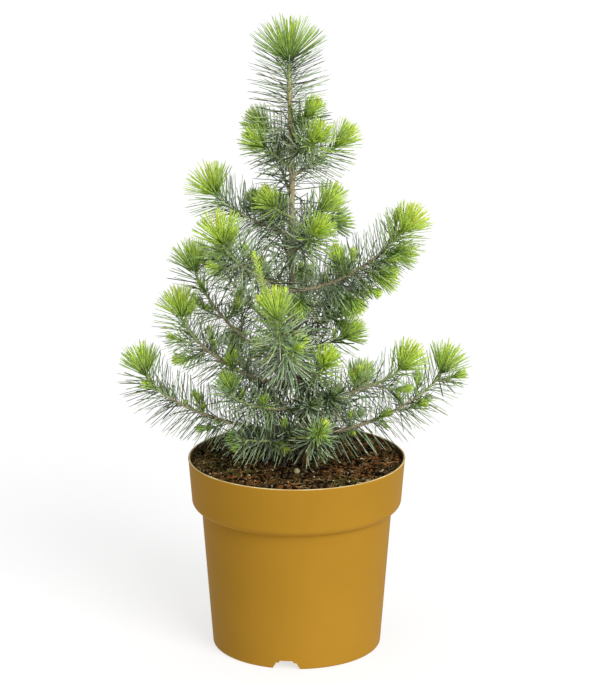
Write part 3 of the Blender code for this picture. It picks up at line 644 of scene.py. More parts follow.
def cut_channels(pot):
    """Drainage channels under raised roofs, each with a hole in its roof."""
    azimuths = [CHANNEL_AZIMUTH + i * 360 / CHANNEL_COUNT for i in range(CHANNEL_COUNT)]
    for azimuth in azimuths:
        ends = CHANNEL_INNER_END - POT_WALL, BASE_RADIUS - FLOOR_ROUND
        levels = POT_FLOOR / 2, CHANNEL_HEIGHT + POT_WALL
        widths = [width + 2 * POT_WALL for width in (CHANNEL_FOOT_WIDTH, CHANNEL_TOP_WIDTH)]
        boolean(pot, "UNION", block("roof", azimuth, ends, levels, widths))
    for azimuth in azimuths:
        ends = CHANNEL_INNER_END, RIM_RADIUS
        levels = -CHANNEL_HEIGHT, CHANNEL_HEIGHT
        widths = 2 * CHANNEL_FOOT_WIDTH - CHANNEL_TOP_WIDTH, CHANNEL_TOP_WIDTH
        cutter = block("channel", azimuth, ends, levels, widths, CHANNEL_ROUND)
        boolean(pot, "DIFFERENCE", cutter)
        boolean(pot, "DIFFERENCE", drain(azimuth))


def pot_materials():
    """The plastic outside, its dark brown inside and a painted highlight along the lip's edge."""
    gloss = (42, 5, 0.6), 0.5, 0.6
    return (
        varied(*POT_OUTSIDE, gloss=gloss, bump=((900, 3, 0.6), 0.05, 0.0004), specular=0.04),
        varied(*POT_INSIDE, bump=((700, 3, 0.6), 0.1, 0.0004)),
        varied(*POT_LIP_HIGHLIGHT),
    )


def make_pot():
    """A turned pot with a rolled lip, a deep collar and drainage channels in its foot."""
    pot = turned(pot_profile())
    cut_channels(pot)
    mesh = pot.data
    bpy.data.objects.remove(pot)
    mesh.shade_smooth()
    mesh.set_sharp_from_angle(angle=math.radians(SHARP_ANGLE))
    for face in mesh.polygons:
        centre = face.center
        inward = face.normal.x * centre.x + face.normal.y * centre.y < 0
        # Faces along the top of the lip take the pale painted highlight.
        if centre.z > POT_HEIGHT - LIP_HIGHLIGHT_DEPTH:
            face.material_index = 2
        elif inward and centre.z > COLLAR_FOOT_HEIGHT:
            face.material_index = 1
    piece("pot_shell", mesh, "pot", ["pot"], *pot_materials())


# Soil


def soil_relief(x, y):
    """The soil's height above its level: crumbs, a low mound at the trunk and a raised edge."""
    place = Vector((x, y, 0))
    crumbly = sum(height * noise.noise(place * scale) for scale, height in SOIL_LAYERS)
    mound = math.exp(-((x - TRUNK_FOOT_OFFSET) ** 2 + y * y) / MOUND_SPREAD)
    edge = smooth((math.hypot(x, y) - EDGE_START) / EDGE_START)
    back = BACK_RISE * smooth((y - BACK_START) / BACK_REACH)
    return crumbly + MOUND_RISE * mound + EDGE_RISE * edge + back - SOIL_SINK


def soil_material():
    made = Shader("potting_mix", (60, 42, 20), 0.92)
    patch = made.ramp(
        made.noise(110, 6, 0.7),
        (0.36, 12, 7, 1),
        (0.45, 46, 31, 10),
        (0.54, 84, 57, 25),
        (0.61, 70, 66, 26),
        (0.68, 186, 146, 92),
    )
    speckle = made.ramp(
        made.noise(650, 4, 0.75), (0.42, 9, 5, 0), (0.54, 70, 50, 22), (0.62, 206, 178, 130)
    )
    colour = made.mix(made.levels(made.noise(30, 3, 0.6), 0.25, 0.75), patch, speckle)
    made.set(Base_Color=colour, Specular_IOR_Level=0.05)
    made.bump(made.noise(900, 5, 0.75), 0.8, 0.0012)
    return made.material


def soil_points():
    """The soil's middle, the rings of its top, the ring of its foot and the foot's middle."""
    turns = [k / SOIL_SIDES * math.tau for k in range(SOIL_SIDES)]
    circle = [(math.cos(turn), math.sin(turn)) for turn in turns]
    points = [(0, 0, SOIL_TOP + soil_relief(0, 0))]
    for ring in range(1, SOIL_RINGS + 1):
        radius = SOIL_RADIUS * ring / SOIL_RINGS
        drop = EDGE_DROP * smooth((ring - SOIL_RINGS + EDGE_RINGS) / EDGE_RINGS)
        for cos, sin in circle:
            x, y = cos * radius, sin * radius
            points.append((x, y, SOIL_TOP + soil_relief(x, y) - drop))
    radius = SOIL_RADIUS - SOIL_FOOT_INSET
    points += [(cos * radius, sin * radius, SOIL_TOP - SOIL_DEPTH) for cos, sin in circle]
    return [*points, (0, 0, SOIL_TOP - SOIL_DEPTH)]


def make_soil():
    """The soil's rough top over a plain body that fills the pot."""
    last = 1 + SOIL_RINGS * SOIL_SIDES
    top = cap(0, 1, SOIL_SIDES)
    rings = band(SOIL_RINGS + 1, SOIL_SIDES, 1)
    foot = cap(last + SOIL_SIDES, last, SOIL_SIDES)
    faces = np.concatenate([top, rings[:, ::-1], foot[:, ::-1]])
    soil_piece("soil_bed", (soil_points(), faces), soil_material())


def soil_piece(name, shape, material, rounded=True):
    piece(name, mesh_of(name, *shape, rounded), "soil", ["soil"], material)


def litter_material(name, dark, light, roughness, scale=400):
    stops = (0.35, *dark), (0.65, *light)
    bump = (scale * 2, 4, 0.6), 0.2, 0.0004
    return varied(name, light, roughness, (scale, 4, 0.6), *stops, bump=bump, specular=0.1)


def rotated(first, second, angle):
    """Two rows of coordinates turned in their plane, by an angle for each row."""
    cos, sin = np.cos(angle)[:, None], np.sin(angle)[:, None]
    return first * cos - second * sin, first * sin + second * cos


def ball(subdivisions, radius):
    """Points and triangles of a ball."""
    shape = bmesh.new()
    bmesh.ops.create_icosphere(shape, subdivisions=subdivisions, radius=radius)
    points = [vert.co.copy() for vert in shape.verts]
    faces = [[vert.index for vert in face.verts] for face in shape.faces]
    shape.free()
    return points, faces


def crumbs(draw, centres, sizes, flat):
    """Small faceted lumps at many places, as points and triangles."""
    corners, loops = map(np.array, ball(1, 1))
    count, each = len(centres), len(corners)
    long, broad = draw.uniform(*CRUMB_LENGTHS, count), draw.uniform(*CRUMB_BREADTHS, count)
    stretch = np.stack([long, broad, np.full(count, flat)], axis=1)
    lumps = corners[None] * stretch[:, None] * draw.uniform(*CRUMB_ROUGHNESS, (count, each, 1))
    turn, tilt = draw.uniform(0, math.tau, count), draw.uniform(*CRUMB_TILTS, count)
    y, z = rotated(lumps[..., 1], lumps[..., 2], tilt)
    x, y = rotated(lumps[..., 0], y, turn)
    points = np.stack([x, y, z], axis=2) * sizes[:, None, None] + centres[:, None]
    faces = loops[None] + (np.arange(count) * each)[:, None, None]
    return points.reshape(-1, 3), faces.reshape(-1, 3)


def scatter_places(draw, count, reach, middle=(0, 0)):
    radius, turn = reach * np.sqrt(draw.random(count)), draw.uniform(0, math.tau, count)
    return np.stack([np.cos(turn) * radius + middle[0], np.sin(turn) * radius + middle[1]], axis=1)


def on_soil(places, lift):
    """Places on the soil as points, each raised by its lift."""
    heights = [SOIL_TOP + soil_relief(x, y) for x, y in places]
    return np.column_stack([places, np.array(heights) + lift])


def joined(parts):
    """Points and faces of many small shapes as one pair of lists."""
    points, faces = [], []
    for more, loops in parts:
        base = len(points)
        points += more
        faces += [[base + index for index in loop] for loop in loops]
    return points, faces


def strand(chance, centre, length, thickness):
    """A bent fibre of four sides, as points and triangles."""
    turn, bend = chance.uniform(0, math.tau), chance.uniform(*FIBRE_BEND)
    lift = chance.uniform(*FIBRE_LIFT)
    points = []
    for i in range(FIBRE_STEPS + 1):
        t = i / FIBRE_STEPS - 0.5
        angle = turn + bend * t
        along = Vector((math.cos(angle), math.sin(angle), lift * (t + 0.5)))
        across = Vector((-math.sin(angle), math.cos(angle), 0))
        middle = centre + along * t * length
        thick = thickness * (1 - abs(2 * t) ** 3 * FIBRE_TAPER)
        for x, z in ((1, 0), (0, FIBRE_FLATNESS), (-1, 0), (0, -FIBRE_FLATNESS)):
            points.append(tuple(middle + across * x * thick + UP * z * thick))
    last = FIBRE_STEPS * 4
    ends = [(0, 2, 1), (0, 3, 2), (last, last + 1, last + 2), (last, last + 2, last + 3)]
    return points, [*band(FIBRE_STEPS + 1, 4), *ends]


def bead(x, y, size):
    """A slightly uneven ball that lies on the soil, as points and triangles."""
    centre = Vector((x, y, SOIL_TOP + soil_relief(x, y) + size * BEAD_LIFT))
    points, faces = ball(3, size)
    uneven = [1 + BEAD_UNEVENNESS * noise.noise(point * 300 + centre * 50) for point in points]
    return [tuple(point * swell + centre) for point, swell in zip(points, uneven)], faces


def make_litter():
    """Crumbs, bark, fibres, moss and pale beads that lie on the soil."""
    draw = np.random.default_rng(LITTER_SEED)
    chance = random.Random(LITTER_SEED)
    for name, count, sizes, flat, dark, light, patches in LITTER:
        share = count // len(patches)
        places = np.concatenate([scatter_places(draw, share, r, (x, y)) for x, y, r in patches])
        size = draw.uniform(*sizes, len(places)) * draw.uniform(*CRUMB_SIZES, len(places))
        shape = crumbs(draw, on_soil(places, size * flat * CRUMB_LIFT), size, flat)
        soil_piece(name, shape, litter_material(name, dark, light, 0.9), rounded=False)
    for name, count, lengths, dark, light in FIBRES:
        places = on_soil(scatter_places(draw, count, FIBRE_REACH), FIBRE_HEIGHT)
        shape = joined(
            strand(
                chance, Vector(place), chance.uniform(*lengths), chance.uniform(*FIBRE_THICKNESS)
            )
            for place in places
        )
        soil_piece(name, shape, litter_material(name, dark, light, 0.85))
    material = litter_material("soil_beads", (150, 136, 98), (196, 184, 146), 0.7, 600)
    soil_piece("soil_beads", joined(bead(*place) for place in BEADS), material)


# Lines of the plant, by the part's own rule


def trunk_axis(height):
    lower = LOWER_BEND * smooth(height / LOWER_BEND_TOP)
    upper = UPPER_BEND * smooth((height - UPPER_BEND_FOOT) / (UPPER_BEND_TOP - UPPER_BEND_FOOT))
    return Vector((TRUNK_FOOT_OFFSET - lower - upper, 0, SOIL_TOP + height))


def trunk_radius(height):
    flare = ROOT_FLARE * np.exp(-height / ROOT_FLARE_FADE)
    return TRUNK_FOOT_RADIUS - TRUNK_TAPER * height + flare


def limb_path(limb, steps=LIMB_STEPS):
    foot = trunk_axis(limb.height)
    out = outward(limb.azimuth)
    tip = foot + out * limb.reach + UP * limb.rise
    span = (tip - foot).length
    first = foot + slope(out, limb.leave) * span * FOOT_HANDLE
    second = tip - slope(out, limb.finish) * span * TIP_HANDLE
    points = []
    for i in range(steps + 1):
        t = i / steps
        u = 1 - t
        points.append(foot * u**3 + first * 3 * u * u * t + second * 3 * u * t * t + tip * t**3)
    return points


def limb_radii(limb, steps=LIMB_STEPS):
    foot_radius = LIMB_FOOT_RADIUS + LIMB_THICKENING * math.hypot(limb.reach, limb.rise)
    return [lerp(foot_radius, LIMB_TIP_RADIUS, i / steps) for i in range(steps + 1)]


def length_of(points):
    return sum((end - start).length for start, end in zip(points, points[1:]))


def point_along(points, distance):
    for start, end in zip(points, points[1:]):
        step = (end - start).length
        if distance <= step or end is points[-1]:
            break
        distance -= step
    return start.lerp(end, min(distance / step, 1)), (end - start).normalized()


def places_along(points):
    whole = length_of(points)
    steps = math.ceil(whole / SPINE_PITCH)
    return np.array([point_along(points, whole * i / steps)[0] for i in range(steps + 1)])


def stem_of(limb, bare_share):
    """A limb's line from where its needles begin."""
    first = round(bare_share * LIMB_STEPS)
    points = limb_path(limb)[first:]
    if first:
        points[0] = points[0] + (points[1] - points[0]).normalized() * GAP
    return points


def upper_side(along):
    level = along.cross(UP) if along.cross(UP).length > 0.1 else along.cross(Vector((0, 1, 0)))
    return level.normalized().cross(along)


def rising(root, start, length):
    """The three points of a twig that sets out in a direction and bends up."""
    end = (start + UP * TWIG_RISE).normalized()
    middle = root + start * length / 2
    return [root, middle, middle + end * length / 2]


def twig_of(root, along, length, turn):
    away = Matrix.Rotation(turn, 3, along) @ upper_side(along)
    lean = math.radians(TWIG_LEAN)
    return rising(root, along * math.cos(lean) + away * math.sin(lean), length)


def nearest(samples, places):
    apart = np.linalg.norm(samples[:, None, :] - places[None, :, :], axis=2)
    return apart.min(axis=1), apart.argmin(axis=1)


def clear_of(samples, limbs):
    places, radii = limbs
    to_limbs, which = nearest(samples, places)
    if (to_limbs - radii[which] < LIMB_MARGIN).any():
        return False
    from_axis = np.hypot(samples[:, 0], samples[:, 1])
    floor = np.where(from_axis < RIM_RADIUS - 2 * POT_WALL, SOIL_TOP, POT_HEIGHT)
    return bool((samples[:, 2] > floor + POT_MARGIN).all())


def limb_places():
    lines = []
    last = round(BARE_SHARE * LIMB_STEPS) + 1
    for limb in BOUGHS:
        lines.append((limb_path(limb)[:last], limb_radii(limb)[:last]))
    heights = [TRUNK_HEIGHT * i / TRUNK_STEPS for i in range(TRUNK_STEPS + 1)]
    lines.append(([trunk_axis(h) for h in heights], [trunk_radius(h) for h in heights]))
    places = [places_along(points) for points, _ in lines]
    radii = [np.full(len(line), around[0]) for line, (_, around) in zip(places, lines)]
    return np.concatenate(places), np.concatenate(radii)


def plan_twigs(stem, taken, limbs, chance):
    own = places_along(stem)
    whole = length_of(stem)
    twigs = []
    first_turn = chance.uniform(0, math.tau)
    count = int(whole / TWIG_PITCH + 1 - SPARE_TWIG) if whole > TWIGLESS_LENGTH else 0
    for number in range(count):
        place = min(TWIG_PITCH * (number + 0.5), whole)
        root, along = point_along(stem, place)
        length = TWIG_LENGTH * (1 - TWIG_SHORTENING * place / whole) * chance.uniform(*TWIG_VARIETY)
        twig = twig_of(root, along, length, first_turn + number * GOLDEN_ANGLE)
        places = places_along(twig)
        outer = places[len(places) // 3 :]
        to_own, _ = nearest(outer, own)
        to_taken, _ = nearest(outer, np.concatenate(taken))
        if (to_taken < np.minimum(TWIG_ROOM, to_own)).any() or not clear_of(outer, limbs):
            continue
        taken.append(places)
        twigs.append(twig)
    return twigs


def plan_stems():
    """The stem of each mass of needles and its side twigs, by name, as in the solids."""
    stems = {limb.name: stem_of(limb, BARE_SHARE) for limb in BOUGHS}
    stems.update({limb.name: stem_of(limb, 0) for limb in SHOOTS})
    limbs = limb_places()
    seeds = {limb.name: limb.seed for limb in LIMBS}
    twigs = {"leader_tip": []}
    for name, stem in stems.items():
        taken = [places_along(other) for key, other in stems.items() if key != name]
        taken += [places_along(twig) for made in twigs.values() for twig in made]
        twigs[name] = plan_twigs(stem, taken, limbs, random.Random(seeds[name]))
    return stems, twigs


def plan_spurs():
    """The lines of the short bright shoots, by spur."""
    limbs = {limb.name: limb for limb in LIMBS}
    lines = {}
    for spur in SPURS:
        path = limb_path(limbs[spur.limb], FINE_STEPS)
        root, _ = point_along(path, spur.place * length_of(path))
        start = slope(outward(spur.azimuth), spur.rise)
        lines[spur] = Line(softened(rising(root, start, spur.length)))
    return lines


# Fine lines, tubes and needles as arrays


def softened(points, times=3):
    """A line of few points with its corners cut to a smooth bend."""
    for _ in range(times):
        cut = [points[0]]
        for start, end in zip(points, points[1:]):
            cut += [start.lerp(end, 0.25), start.lerp(end, 0.75)]
        points = [*cut, points[-1]]
    return points


class Line:
    """A line sampled evenly, with its direction and a frame carried along it."""

    def __init__(self, points, pitch=0.001):
        points = np.array(points)
        steps = np.linalg.norm(np.diff(points, axis=0), axis=1)
        at = np.concatenate([[0], np.cumsum(steps)])
        self.length = at[-1]
        self.at = np.linspace(0, self.length, max(3, int(self.length / pitch) + 1))
        self.points = np.stack([np.interp(self.at, at, points[:, k]) for k in range(3)], axis=1)
        along = np.gradient(self.points, axis=0)
        self.along = along / np.linalg.norm(along, axis=1, keepdims=True)
        over = np.array(upper_side(Vector(self.along[0])))
        overs = []
        for direction in self.along:
            over = over - direction * over.dot(direction)
            over = over / np.linalg.norm(over)
            overs.append(over)
        self.over = np.array(overs)

    def sample(self, at):
        """Points, directions and the two square directions at distances along the line."""
        where = [
            np.stack([np.interp(at, self.at, values[:, k]) for k in range(3)], axis=1)
            for values in (self.points, self.along, self.over)
        ]
        along = where[1] / np.linalg.norm(where[1], axis=1, keepdims=True)
        over = where[2] - along * (where[2] * along).sum(axis=1, keepdims=True)
        over /= np.linalg.norm(over, axis=1, keepdims=True)
        return where[0], along, over, np.cross(along, over)


def tube_arrays(line, radius_at, sides, pitch, relief=None):
    """Points and triangles of a limb closed at both ends, and how far along each point lies."""
    count = max(3, int(line.length / pitch) + 1)
    at = np.linspace(0, line.length, count)
    middle, _, over, side = line.sample(at)
    turn = np.arange(sides) / sides * math.tau
    radii = radius_at(at)[:, None] * np.ones((1, sides))
    if relief is not None:
        radii = radii + relief(at[:, None], turn[None, :])
    cos, sin = np.cos(turn)[None, :, None], np.sin(turn)[None, :, None]
    out = over[:, None, :] * cos + side[:, None, :] * sin
    points = (middle[:, None, :] + out * radii[:, :, None]).reshape(-1, 3)
    last = count * sides
    start, end = cap(last, 0, sides), cap(last + 1, last - sides, sides)
    faces = np.concatenate([band(count, sides), start[:, ::-1], end])
    points = np.concatenate([points, middle[:1], middle[-1:]])
    return points, faces, np.concatenate([np.repeat(at, sides), at[[0, -1]]])


class Pile:
    """Arrays of points and triangles gathered into one mesh."""

    def __init__(self):
        self.points, self.faces, self.count = [], [], 0

    def add(self, points, faces):
        self.points.append(points)
        self.faces.append(faces + self.count)
        self.count += len(points)

    def mesh(self, name):
        return mesh_of(name, np.concatenate(self.points), np.concatenate(self.faces))


def needle_arrays(roots, directions, broad, lengths, widths, bends):
    """Slim needles with a flat back, a keel and a pointed tip, as points and triangles."""
    count = len(roots)
    thin = np.cross(directions, broad)
    middle = (
        roots[:, None, :]
        + directions[:, None, :] * (lengths[:, None] * RING_PLACES)[:, :, None]
        + bends[:, None, :] * (RING_PLACES**2)[None, :, None]
    )
    half = widths[:, None] * RING_WIDTHS / 2
    wide = broad[:, None, :] * half[:, :, None]
    keel = thin[:, None, :] * half[:, :, None] * NEEDLE_KEEL / NEEDLE_WIDTH
    corners = np.stack([middle + wide, middle + keel, middle - wide], axis=2)
    tips = roots + directions * lengths[:, None] + bends
    points = np.concatenate([corners.reshape(count, -1, 3), tips[:, None, :]], axis=1)
    tip = 3 * len(RING_PLACES)
    loops = np.concatenate([band(len(RING_PLACES), 3), cap(tip, tip - 3, 3), [(0, 2, 1)]])
    faces = loops[None, :, :] + (np.arange(count) * (tip + 1))[:, None, None]
    return points.reshape(-1, 3), faces.reshape(-1, 3)


def unit(vectors):
    return vectors / np.maximum(np.linalg.norm(vectors, axis=1, keepdims=True), 1e-9)


class Foliage:
    """All needles, gathered by tint."""

    def __init__(self):
        self.piles = [Pile() for _ in TINTS]
        self.random = np.random.default_rng(NEEDLE_SEED)

    def tints(self, age):
        """A tint for each needle by its age: 0 is the youngest and 1 and more is old."""
        age = age + self.random.normal(0, AGE_SPREAD, len(age))
        tint = np.clip(age * OLD, 0, OLD).astype(int)
        old = tint >= OLD
        draw = self.random.random(len(age))
        shares = [share for share, _ in OLD_TINTS]
        kinds = np.array([kind for _, kind in OLD_TINTS])
        # Old needles get their tints at random, painted highlight and painted shade among them.
        tint[old] = kinds[np.searchsorted(shares, draw[old])]
        return tint

    def add(self, line, start, share, per_metre, fresh, leans=LEANS, keep=None):
        """Needles along a line on a golden-angle spiral, spread out behind its tip."""
        draw = self.random
        count = int((line.length - start) * per_metre)
        if count < 1:
            return
        at = start + (np.arange(count) + draw.random(count) * PLACE_SPREAD) / per_metre
        at = np.minimum(at, line.length)
        if keep is not None:
            at = at[draw.random(len(at)) < keep(at)]
            count = len(at)
        turn = np.arange(count) * GOLDEN_ANGLE + draw.normal(0, TURN_SPREAD, count)
        from_tip = line.length - at
        lean = np.interp(from_tip, LEAN_PLACES, leans) + draw.normal(0, LEAN_SPREAD, count)
        grown = np.clip(from_tip / NEEDLE_GROWTH, 0, 1)
        length = TIP_NEEDLE_LENGTH + (NEEDLE_LENGTH - TIP_NEEDLE_LENGTH) * grown
        length = length * share * draw.uniform(*LENGTH_VARIETY, count)
        age = TIP_AGE - FRESH_TIP * fresh + from_tip / (OLD_REACH + FRESH_REACH * fresh) * AGE_GAIN
        self.stand(line, at, turn, lean, length, self.tints(age))

    def fan(self, line, number, length, fresh, cone):
        """The open bunch of needles on a growing tip, youngest in its middle."""
        draw = self.random
        spread = np.sqrt((np.arange(number) + 0.5) / number)
        at = line.length - spread * BUNCH_DEPTH
        turn = np.arange(number) * GOLDEN_ANGLE
        lean = spread * cone + draw.normal(0, BUNCH_SPREAD, number)
        length = length * draw.uniform(*BUNCH_VARIETY, number)
        age = BUNCH_AGE * (1 - fresh) + spread * BUNCH_AGE_RISE
        self.stand(line, at, turn, lean, length, self.tints(age))

    def stand(self, line, at, turn, lean, length, tint):
        """Needles that stand at places on a line, kept off the soil and the pot's rim."""
        draw = self.random
        roots, along, over, side = line.sample(at)
        lean = np.radians(lean)[:, None]
        away = over * np.cos(turn)[:, None] + side * np.sin(turn)[:, None]
        direction = along * np.cos(lean) + away * np.sin(lean)
        broad = unit(np.cross(along, away) * ROLL_HOLD + draw.normal(0, ROLL_SPREAD, along.shape))
        broad = unit(broad - direction * (broad * direction).sum(axis=1, keepdims=True))
        bend = draw.normal(0, BEND_SPREAD, along.shape) + along * BEND_FORWARD
        old = np.clip((line.length - at) / OLD_SAG_REACH, 0, 1)
        bend[:, 2] -= (SAG + OLD_SAG * old) * (1 - np.clip(direction[:, 2], 0, 1))
        bend = bend * length[:, None]
        end = roots + direction * length[:, None] + bend
        from_axis = np.hypot(end[:, 0], end[:, 1])
        inside = from_axis < RIM_RADIUS - RIM_CLEARANCE
        floor = np.where(inside, SOIL_TOP + SOIL_CLEARANCE, POT_HEIGHT + RIM_CLEARANCE)
        low = (from_axis < RIM_RADIUS + RIM_BAND) & (end[:, 2] < floor)
        bend[low, 2] += floor[low] - end[low, 2]
        keep = roots[:, 2] > SOIL_TOP + ROOT_CLEARANCE
        width = NEEDLE_WIDTH * draw.uniform(*WIDTH_VARIETY, len(at))
        values = roots, direction, broad, length, width, bend
        for index, pile in enumerate(self.piles):
            chosen = keep & (tint == index)
            if chosen.any():
                pile.add(*needle_arrays(*(value[chosen] for value in values)))


def needle_material(name, colour):
    dark = [part * DARK_SHARE for part in colour]
    light = [min(part * LIGHT_SHARE, 255) for part in colour]
    gloss = (300, 2, 0.5), 0.42, 0.6
    stops = (0.38, *dark), (0.62, *light)
    return varied(name, colour, 0.5, (260, 3, 0.6), *stops, gloss=gloss, specular=0.4)


# Bark


def bark_material(name, stops, scale, strength):
    cloud = scale, 5, 0.65, (1, 1, 0.45)
    bump = (scale * 3.2, 5, 0.7, (1, 1, 0.5)), strength, 0.0006
    return varied(name, stops[-1][1:], 0.8, cloud, *stops, bump=bump, specular=0.3)


def trunk_material():
    """Bark that is orange-brown at the foot, grey-brown higher up and green at the top."""
    made = Shader("trunk_bark", (120, 98, 66), 0.82)
    height = made.node("SeparateXYZ", "Z", Vector=made.place)
    ends = {"From_Min": SOIL_TOP, "From_Max": SOIL_TOP + LEADER_TOP}
    span = made.node("MapRange", "Result", Value=height, **ends)
    cracks = made.levels(made.noise(620, 5, 0.7, (1, 1, 0.4)), -0.5, 1.6)
    colour = made.mix(cracks, made.ramp(span, *TRUNK_CRACKS), made.ramp(span, *TRUNK_COLOURS))
    made.set(Base_Color=colour, Specular_IOR_Level=0.3)
    made.bump(made.noise(1500, 5, 0.7, (1, 1, 0.4)), 0.5, 0.0006)
    return made.material


def scar_relief(line_length, radius, pitch, height, size):
    """Small leaf scars on a spiral, as a relief over (distance along, turn)."""
    places = np.arange(0, line_length, pitch)
    turns = (np.arange(len(places)) * GOLDEN_ANGLE) % math.tau

    def relief(at, turn):
        total = np.zeros(np.broadcast_shapes(at.shape, turn.shape))
        for place, centre in zip(places, turns):
            around = (turn - centre + math.pi) % math.tau - math.pi
            apart = ((at - place) / size) ** 2 + (around * radius / size) ** 2
            total += np.exp(-apart) * height
        return total

    return relief


def trunk_relief(line):
    """Scars, ridges, lobes at the flare, and a collar at each limb's foot."""
    scars = scar_relief(line.length, TRUNK_MEAN_RADIUS, *TRUNK_SCARS)
    over, side = Vector(line.over[0]), Vector(np.cross(line.along[0], line.over[0]))

    def relief(at, turn):
        total = scars(at, turn)
        ridges = np.sin(turn * RIDGES + np.sin(at * RIDGE_SWAY) * 1.3)
        ridges = ridges * np.sin(at * RIDGE_WAVES + turn * 3)
        total = total + ridges * RIDGE_DEPTH * np.clip(RIDGE_FOOT - at / RIDGE_FADE, RIDGE_LEAST, 1)
        lobes = np.sin(turn * FLARE_LOBES + 0.7)
        total = total + LOBE_DEPTH * np.exp(-at / LOBE_FADE) * lobes
        for limb in LIMBS:
            out = outward(limb.azimuth)
            centre = math.atan2(out.dot(side), out.dot(over))
            around = (turn - centre + math.pi) % math.tau - math.pi
            above = (at - limb.height - COLLAR_LIFT) / COLLAR_REACH
            apart = above**2 + (around * COLLAR_NARROWING) ** 2
            total = total + np.exp(-apart) * COLLAR_RISE
        return total

    return relief


def closing(left, reach, least):
    """How a limb's radius closes toward its tip, by the length that is left."""
    return np.clip(left / reach, least, 1) ** 0.5


def make_trunk():
    """The trunk and its leader as one tapering limb."""
    heights = np.linspace(-TRUNK_SUNK, LEADER_TOP, TRUNK_LINE_STEPS)
    line = Line([trunk_axis(max(h, 0)) + UP * min(h, 0) for h in heights])

    def radius_at(at):
        height = np.maximum(at - TRUNK_SUNK, 0)
        return trunk_radius(height) * closing(LEADER_TOP - height, *LEADER_CLOSING)

    points, faces, _ = tube_arrays(line, radius_at, *TRUNK_BARK, trunk_relief(line))
    piece("trunk_bark", mesh_of("trunk_bark", points, faces), "bark", ["trunk"], trunk_material())


class Wood:
    """Limbs and twigs, gathered as brown bark and, near their tips, as young green bark."""

    def __init__(self):
        self.brown, self.green = Pile(), Pile()

    def add(self, path, radius_at, bark, green_length, relief=None):
        points, faces, at = tube_arrays(path, radius_at, *bark, relief)
        green = at[faces].max(axis=1) > path.length - green_length
        for pile, chosen in ((self.brown, ~green), (self.green, green)):
            if chosen.any():
                used = np.unique(faces[chosen])
                number = np.zeros(len(points), int)
                number[used] = np.arange(len(used))
                pile.add(points[used], number[faces[chosen]])

    def add_limb(self, limb):
        path = Line(limb_path(limb, FINE_STEPS))
        radii = np.array(limb_radii(limb))
        steps = np.linspace(0, path.length, len(radii))

        def radius_at(at):
            foot = FOOT_SWELLING * np.exp(-at / SWELLING_FADE)
            return (np.interp(at, steps, radii) + foot) * closing(path.length - at, *BOUGH_CLOSING)

        scars = scar_relief(path.length, radii[0], *BOUGH_SCARS)
        self.add(path, radius_at, BOUGH_BARK, GREEN_BOUGH, scars)

    def add_twig(self, path):
        def radius_at(at):
            taper = 1 - TWIG_TAPER * at / path.length
            return TWIG_RADIUS * taper * closing(path.length - at, *TWIG_CLOSING)

        self.add(path, radius_at, TWIG_BARK, GREEN_TWIG)


def make_wood(stems, twigs):
    """The boughs and the side twigs."""
    wood = Wood()
    for limb in LIMBS:
        wood.add_limb(limb)
    for path in [Line(softened(twig)) for made in twigs.values() for twig in made]:
        wood.add_twig(path)
    for path in plan_spurs().values():
        wood.add_twig(path)
    brown = bark_material("bough_bark", BOUGH_COLOURS, 520, 0.5)
    green = bark_material("young_bark", YOUNG_COLOURS, 480, 0.35)
    boughs = ["bough_" + limb.name for limb in BOUGHS]
    piece("bough_bark", wood.brown.mesh("bough_bark"), "bark", boughs, brown)
    masses = ["needles_" + name for name in (*stems, "leader_tip")]
    piece("young_twigs", wood.green.mesh("young_twigs"), "bark", masses, green)


# Needles on the plant


def share_of(length):
    """How long a stem's needles are, as a share of the longest."""
    return lerp(SHORT_STEM_SHARE, 1, min(length / LONG_STEM, 1))


def leader_needles(foliage):
    """Needles round the leader, shorter and ever fewer down the trunk below it."""
    steps = range(LEADER_LINE_STEPS + 1)
    trunk = Line([trunk_axis(LEADER_TOP * i / LEADER_LINE_STEPS) for i in steps])
    foot, crowd = TRUNK_NEEDLE_HEIGHTS[0], LEADER_CROWD * LEADER_DENSITY
    for share, chosen in ((TRUNK_NEEDLE_SHARE, np.less), (LEADER_NEEDLE_SHARE, np.greater_equal)):

        def keep(at, chosen=chosen):
            standing = np.interp(at, TRUNK_NEEDLE_HEIGHTS, TRUNK_NEEDLE_SHARES)
            return standing * chosen(at, LEADER_FOOT)

        foliage.add(trunk, foot, share, crowd, LEADER_FRESH, LEADER_LEANS, keep)
    foliage.fan(trunk, LEADER_BUNCH, LEADER_BUNCH_LENGTH, LEADER_FRESH, LEADER_CONE)


def limb_needles(foliage, limb):
    path = Line(limb_path(limb, FINE_STEPS))
    bough = limb in BOUGHS
    bare = BARE_SHARE * path.length if bough else 0
    share = share_of(path.length - bare) * limb.size
    crowd = BACK_CROWD if path.points[-1][1] > BACK_DEPTH else FRONT_CROWD
    foliage.add(path, BARE_LIMB_FOOT, share, crowd * limb.density, limb.fresh)
    length = BUNCH_LENGTH * share * lerp(DULL_BUNCH_SHARE, 1, min(2 * max(limb.fresh, 0), 1))
    foliage.fan(path, BOUGH_BUNCH if bough else SHOOT_BUNCH, length, limb.fresh, limb.cone)


def twig_needles(foliage, path, fresh):
    foliage.add(path, BARE_TWIG_FOOT, share_of(path.length), TWIG_CROWD, fresh * TWIG_SIDE_FRESH)
    foliage.fan(path, TWIG_BUNCH, TWIG_BUNCH_LENGTH, fresh, TWIG_BUNCH_CONE)


def spur_needles(foliage, path, spur):
    share, fresh = spur.needles / NEEDLE_LENGTH, spur.fresh * SPUR_SIDE_FRESH
    foliage.add(path, BARE_SPUR_FOOT, share, SPUR_CROWD, fresh)
    number = int(SPUR_BUNCH + spur.needles * SPUR_BUNCH_GROWTH)
    cone = SPUR_CONE + SPUR_CONE_GROWTH * spur.needles
    foliage.fan(path, number, spur.needles, spur.fresh, cone)


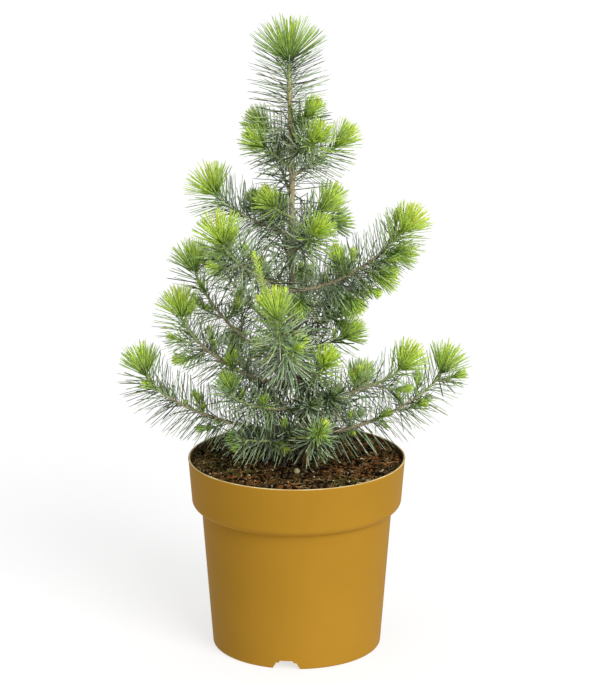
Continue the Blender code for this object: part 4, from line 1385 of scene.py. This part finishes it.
def make_needles(stems, twigs):
    """Every needle of the plant, in one mesh for each tint."""
    foliage = Foliage()
    chance = random.Random(TWIG_FRESH_SEED)
    leader_needles(foliage)
    for limb in LIMBS:
        limb_needles(foliage, limb)
    freshness = {limb.name: limb.fresh for limb in LIMBS}
    for name, made in twigs.items():
        for twig in made:
            fresh = min(freshness[name] * TWIG_FRESH_SHARE + chance.uniform(*TWIG_FRESH), 1)
            twig_needles(foliage, Line(softened(twig)), fresh)
    for spur, path in plan_spurs().items():
        spur_needles(foliage, path, spur)
    masses = ["needles_" + name for name in (*stems, "leader_tip", "leader")]
    for (name, colour), pile in zip(TINTS, foliage.piles):
        piece(name, pile.mesh(name), "needles", masses, needle_material(name, colour))


# Studio


def make_floor():
    shape = bmesh.new()
    bmesh.ops.create_grid(shape, x_segments=1, y_segments=1, size=60)
    floor = add_object("floor", mesh_from(shape, "floor"))
    made = Shader("floor_white", (255, 255, 255), 0.9)
    made.set(Base_Color=(0.31, 0.31, 0.31, 1), Emission_Color=(1, 1, 1, 1), Emission_Strength=0.69)
    floor.data.materials.append(made.material)


def sun(name, azimuth, elevation, spread, strength):
    """A wide soft light from a direction, given as the azimuth and elevation it comes from."""
    data = bpy.data.lights.new(name, "SUN")
    data.energy = strength
    data.angle = math.radians(spread)
    lamp = add_object(name, data)
    lamp.rotation_euler = slope(outward(azimuth), elevation).to_track_quat("Z", "Y").to_euler()


def make_lights():
    sun("key", azimuth=303, elevation=32, spread=36, strength=2.76)
    sun("top", azimuth=270, elevation=85, spread=70, strength=1.1)
    world = bpy.data.worlds.new("studio")
    bpy.context.scene.world = world
    world.use_nodes = True
    sky = world.node_tree.nodes["Background"]
    sky.inputs["Color"].default_value = (1, 1, 1, 1)
    sky.inputs["Strength"].default_value = 0.26


def make_camera():
    """The photograph's view: from the front, a little above the plant's top."""
    data = bpy.data.cameras.new("camera")
    data.lens = 151.6
    data.sensor_width = 36
    data.clip_end = 200
    camera = add_object("camera", data)
    camera.location = (0.0029, -2.4, 0.929)
    camera.rotation_euler = (math.radians(74.74), 0, 0)
    bpy.context.scene.camera = camera


def main():
    bpy.context.scene.view_settings.view_transform = "Standard"
    make_camera()
    make_floor()
    make_lights()
    make_pot()
    make_soil()
    make_litter()
    make_trunk()
    stems, twigs = plan_stems()
    make_wood(stems, twigs)
    make_needles(stems, twigs)


main()
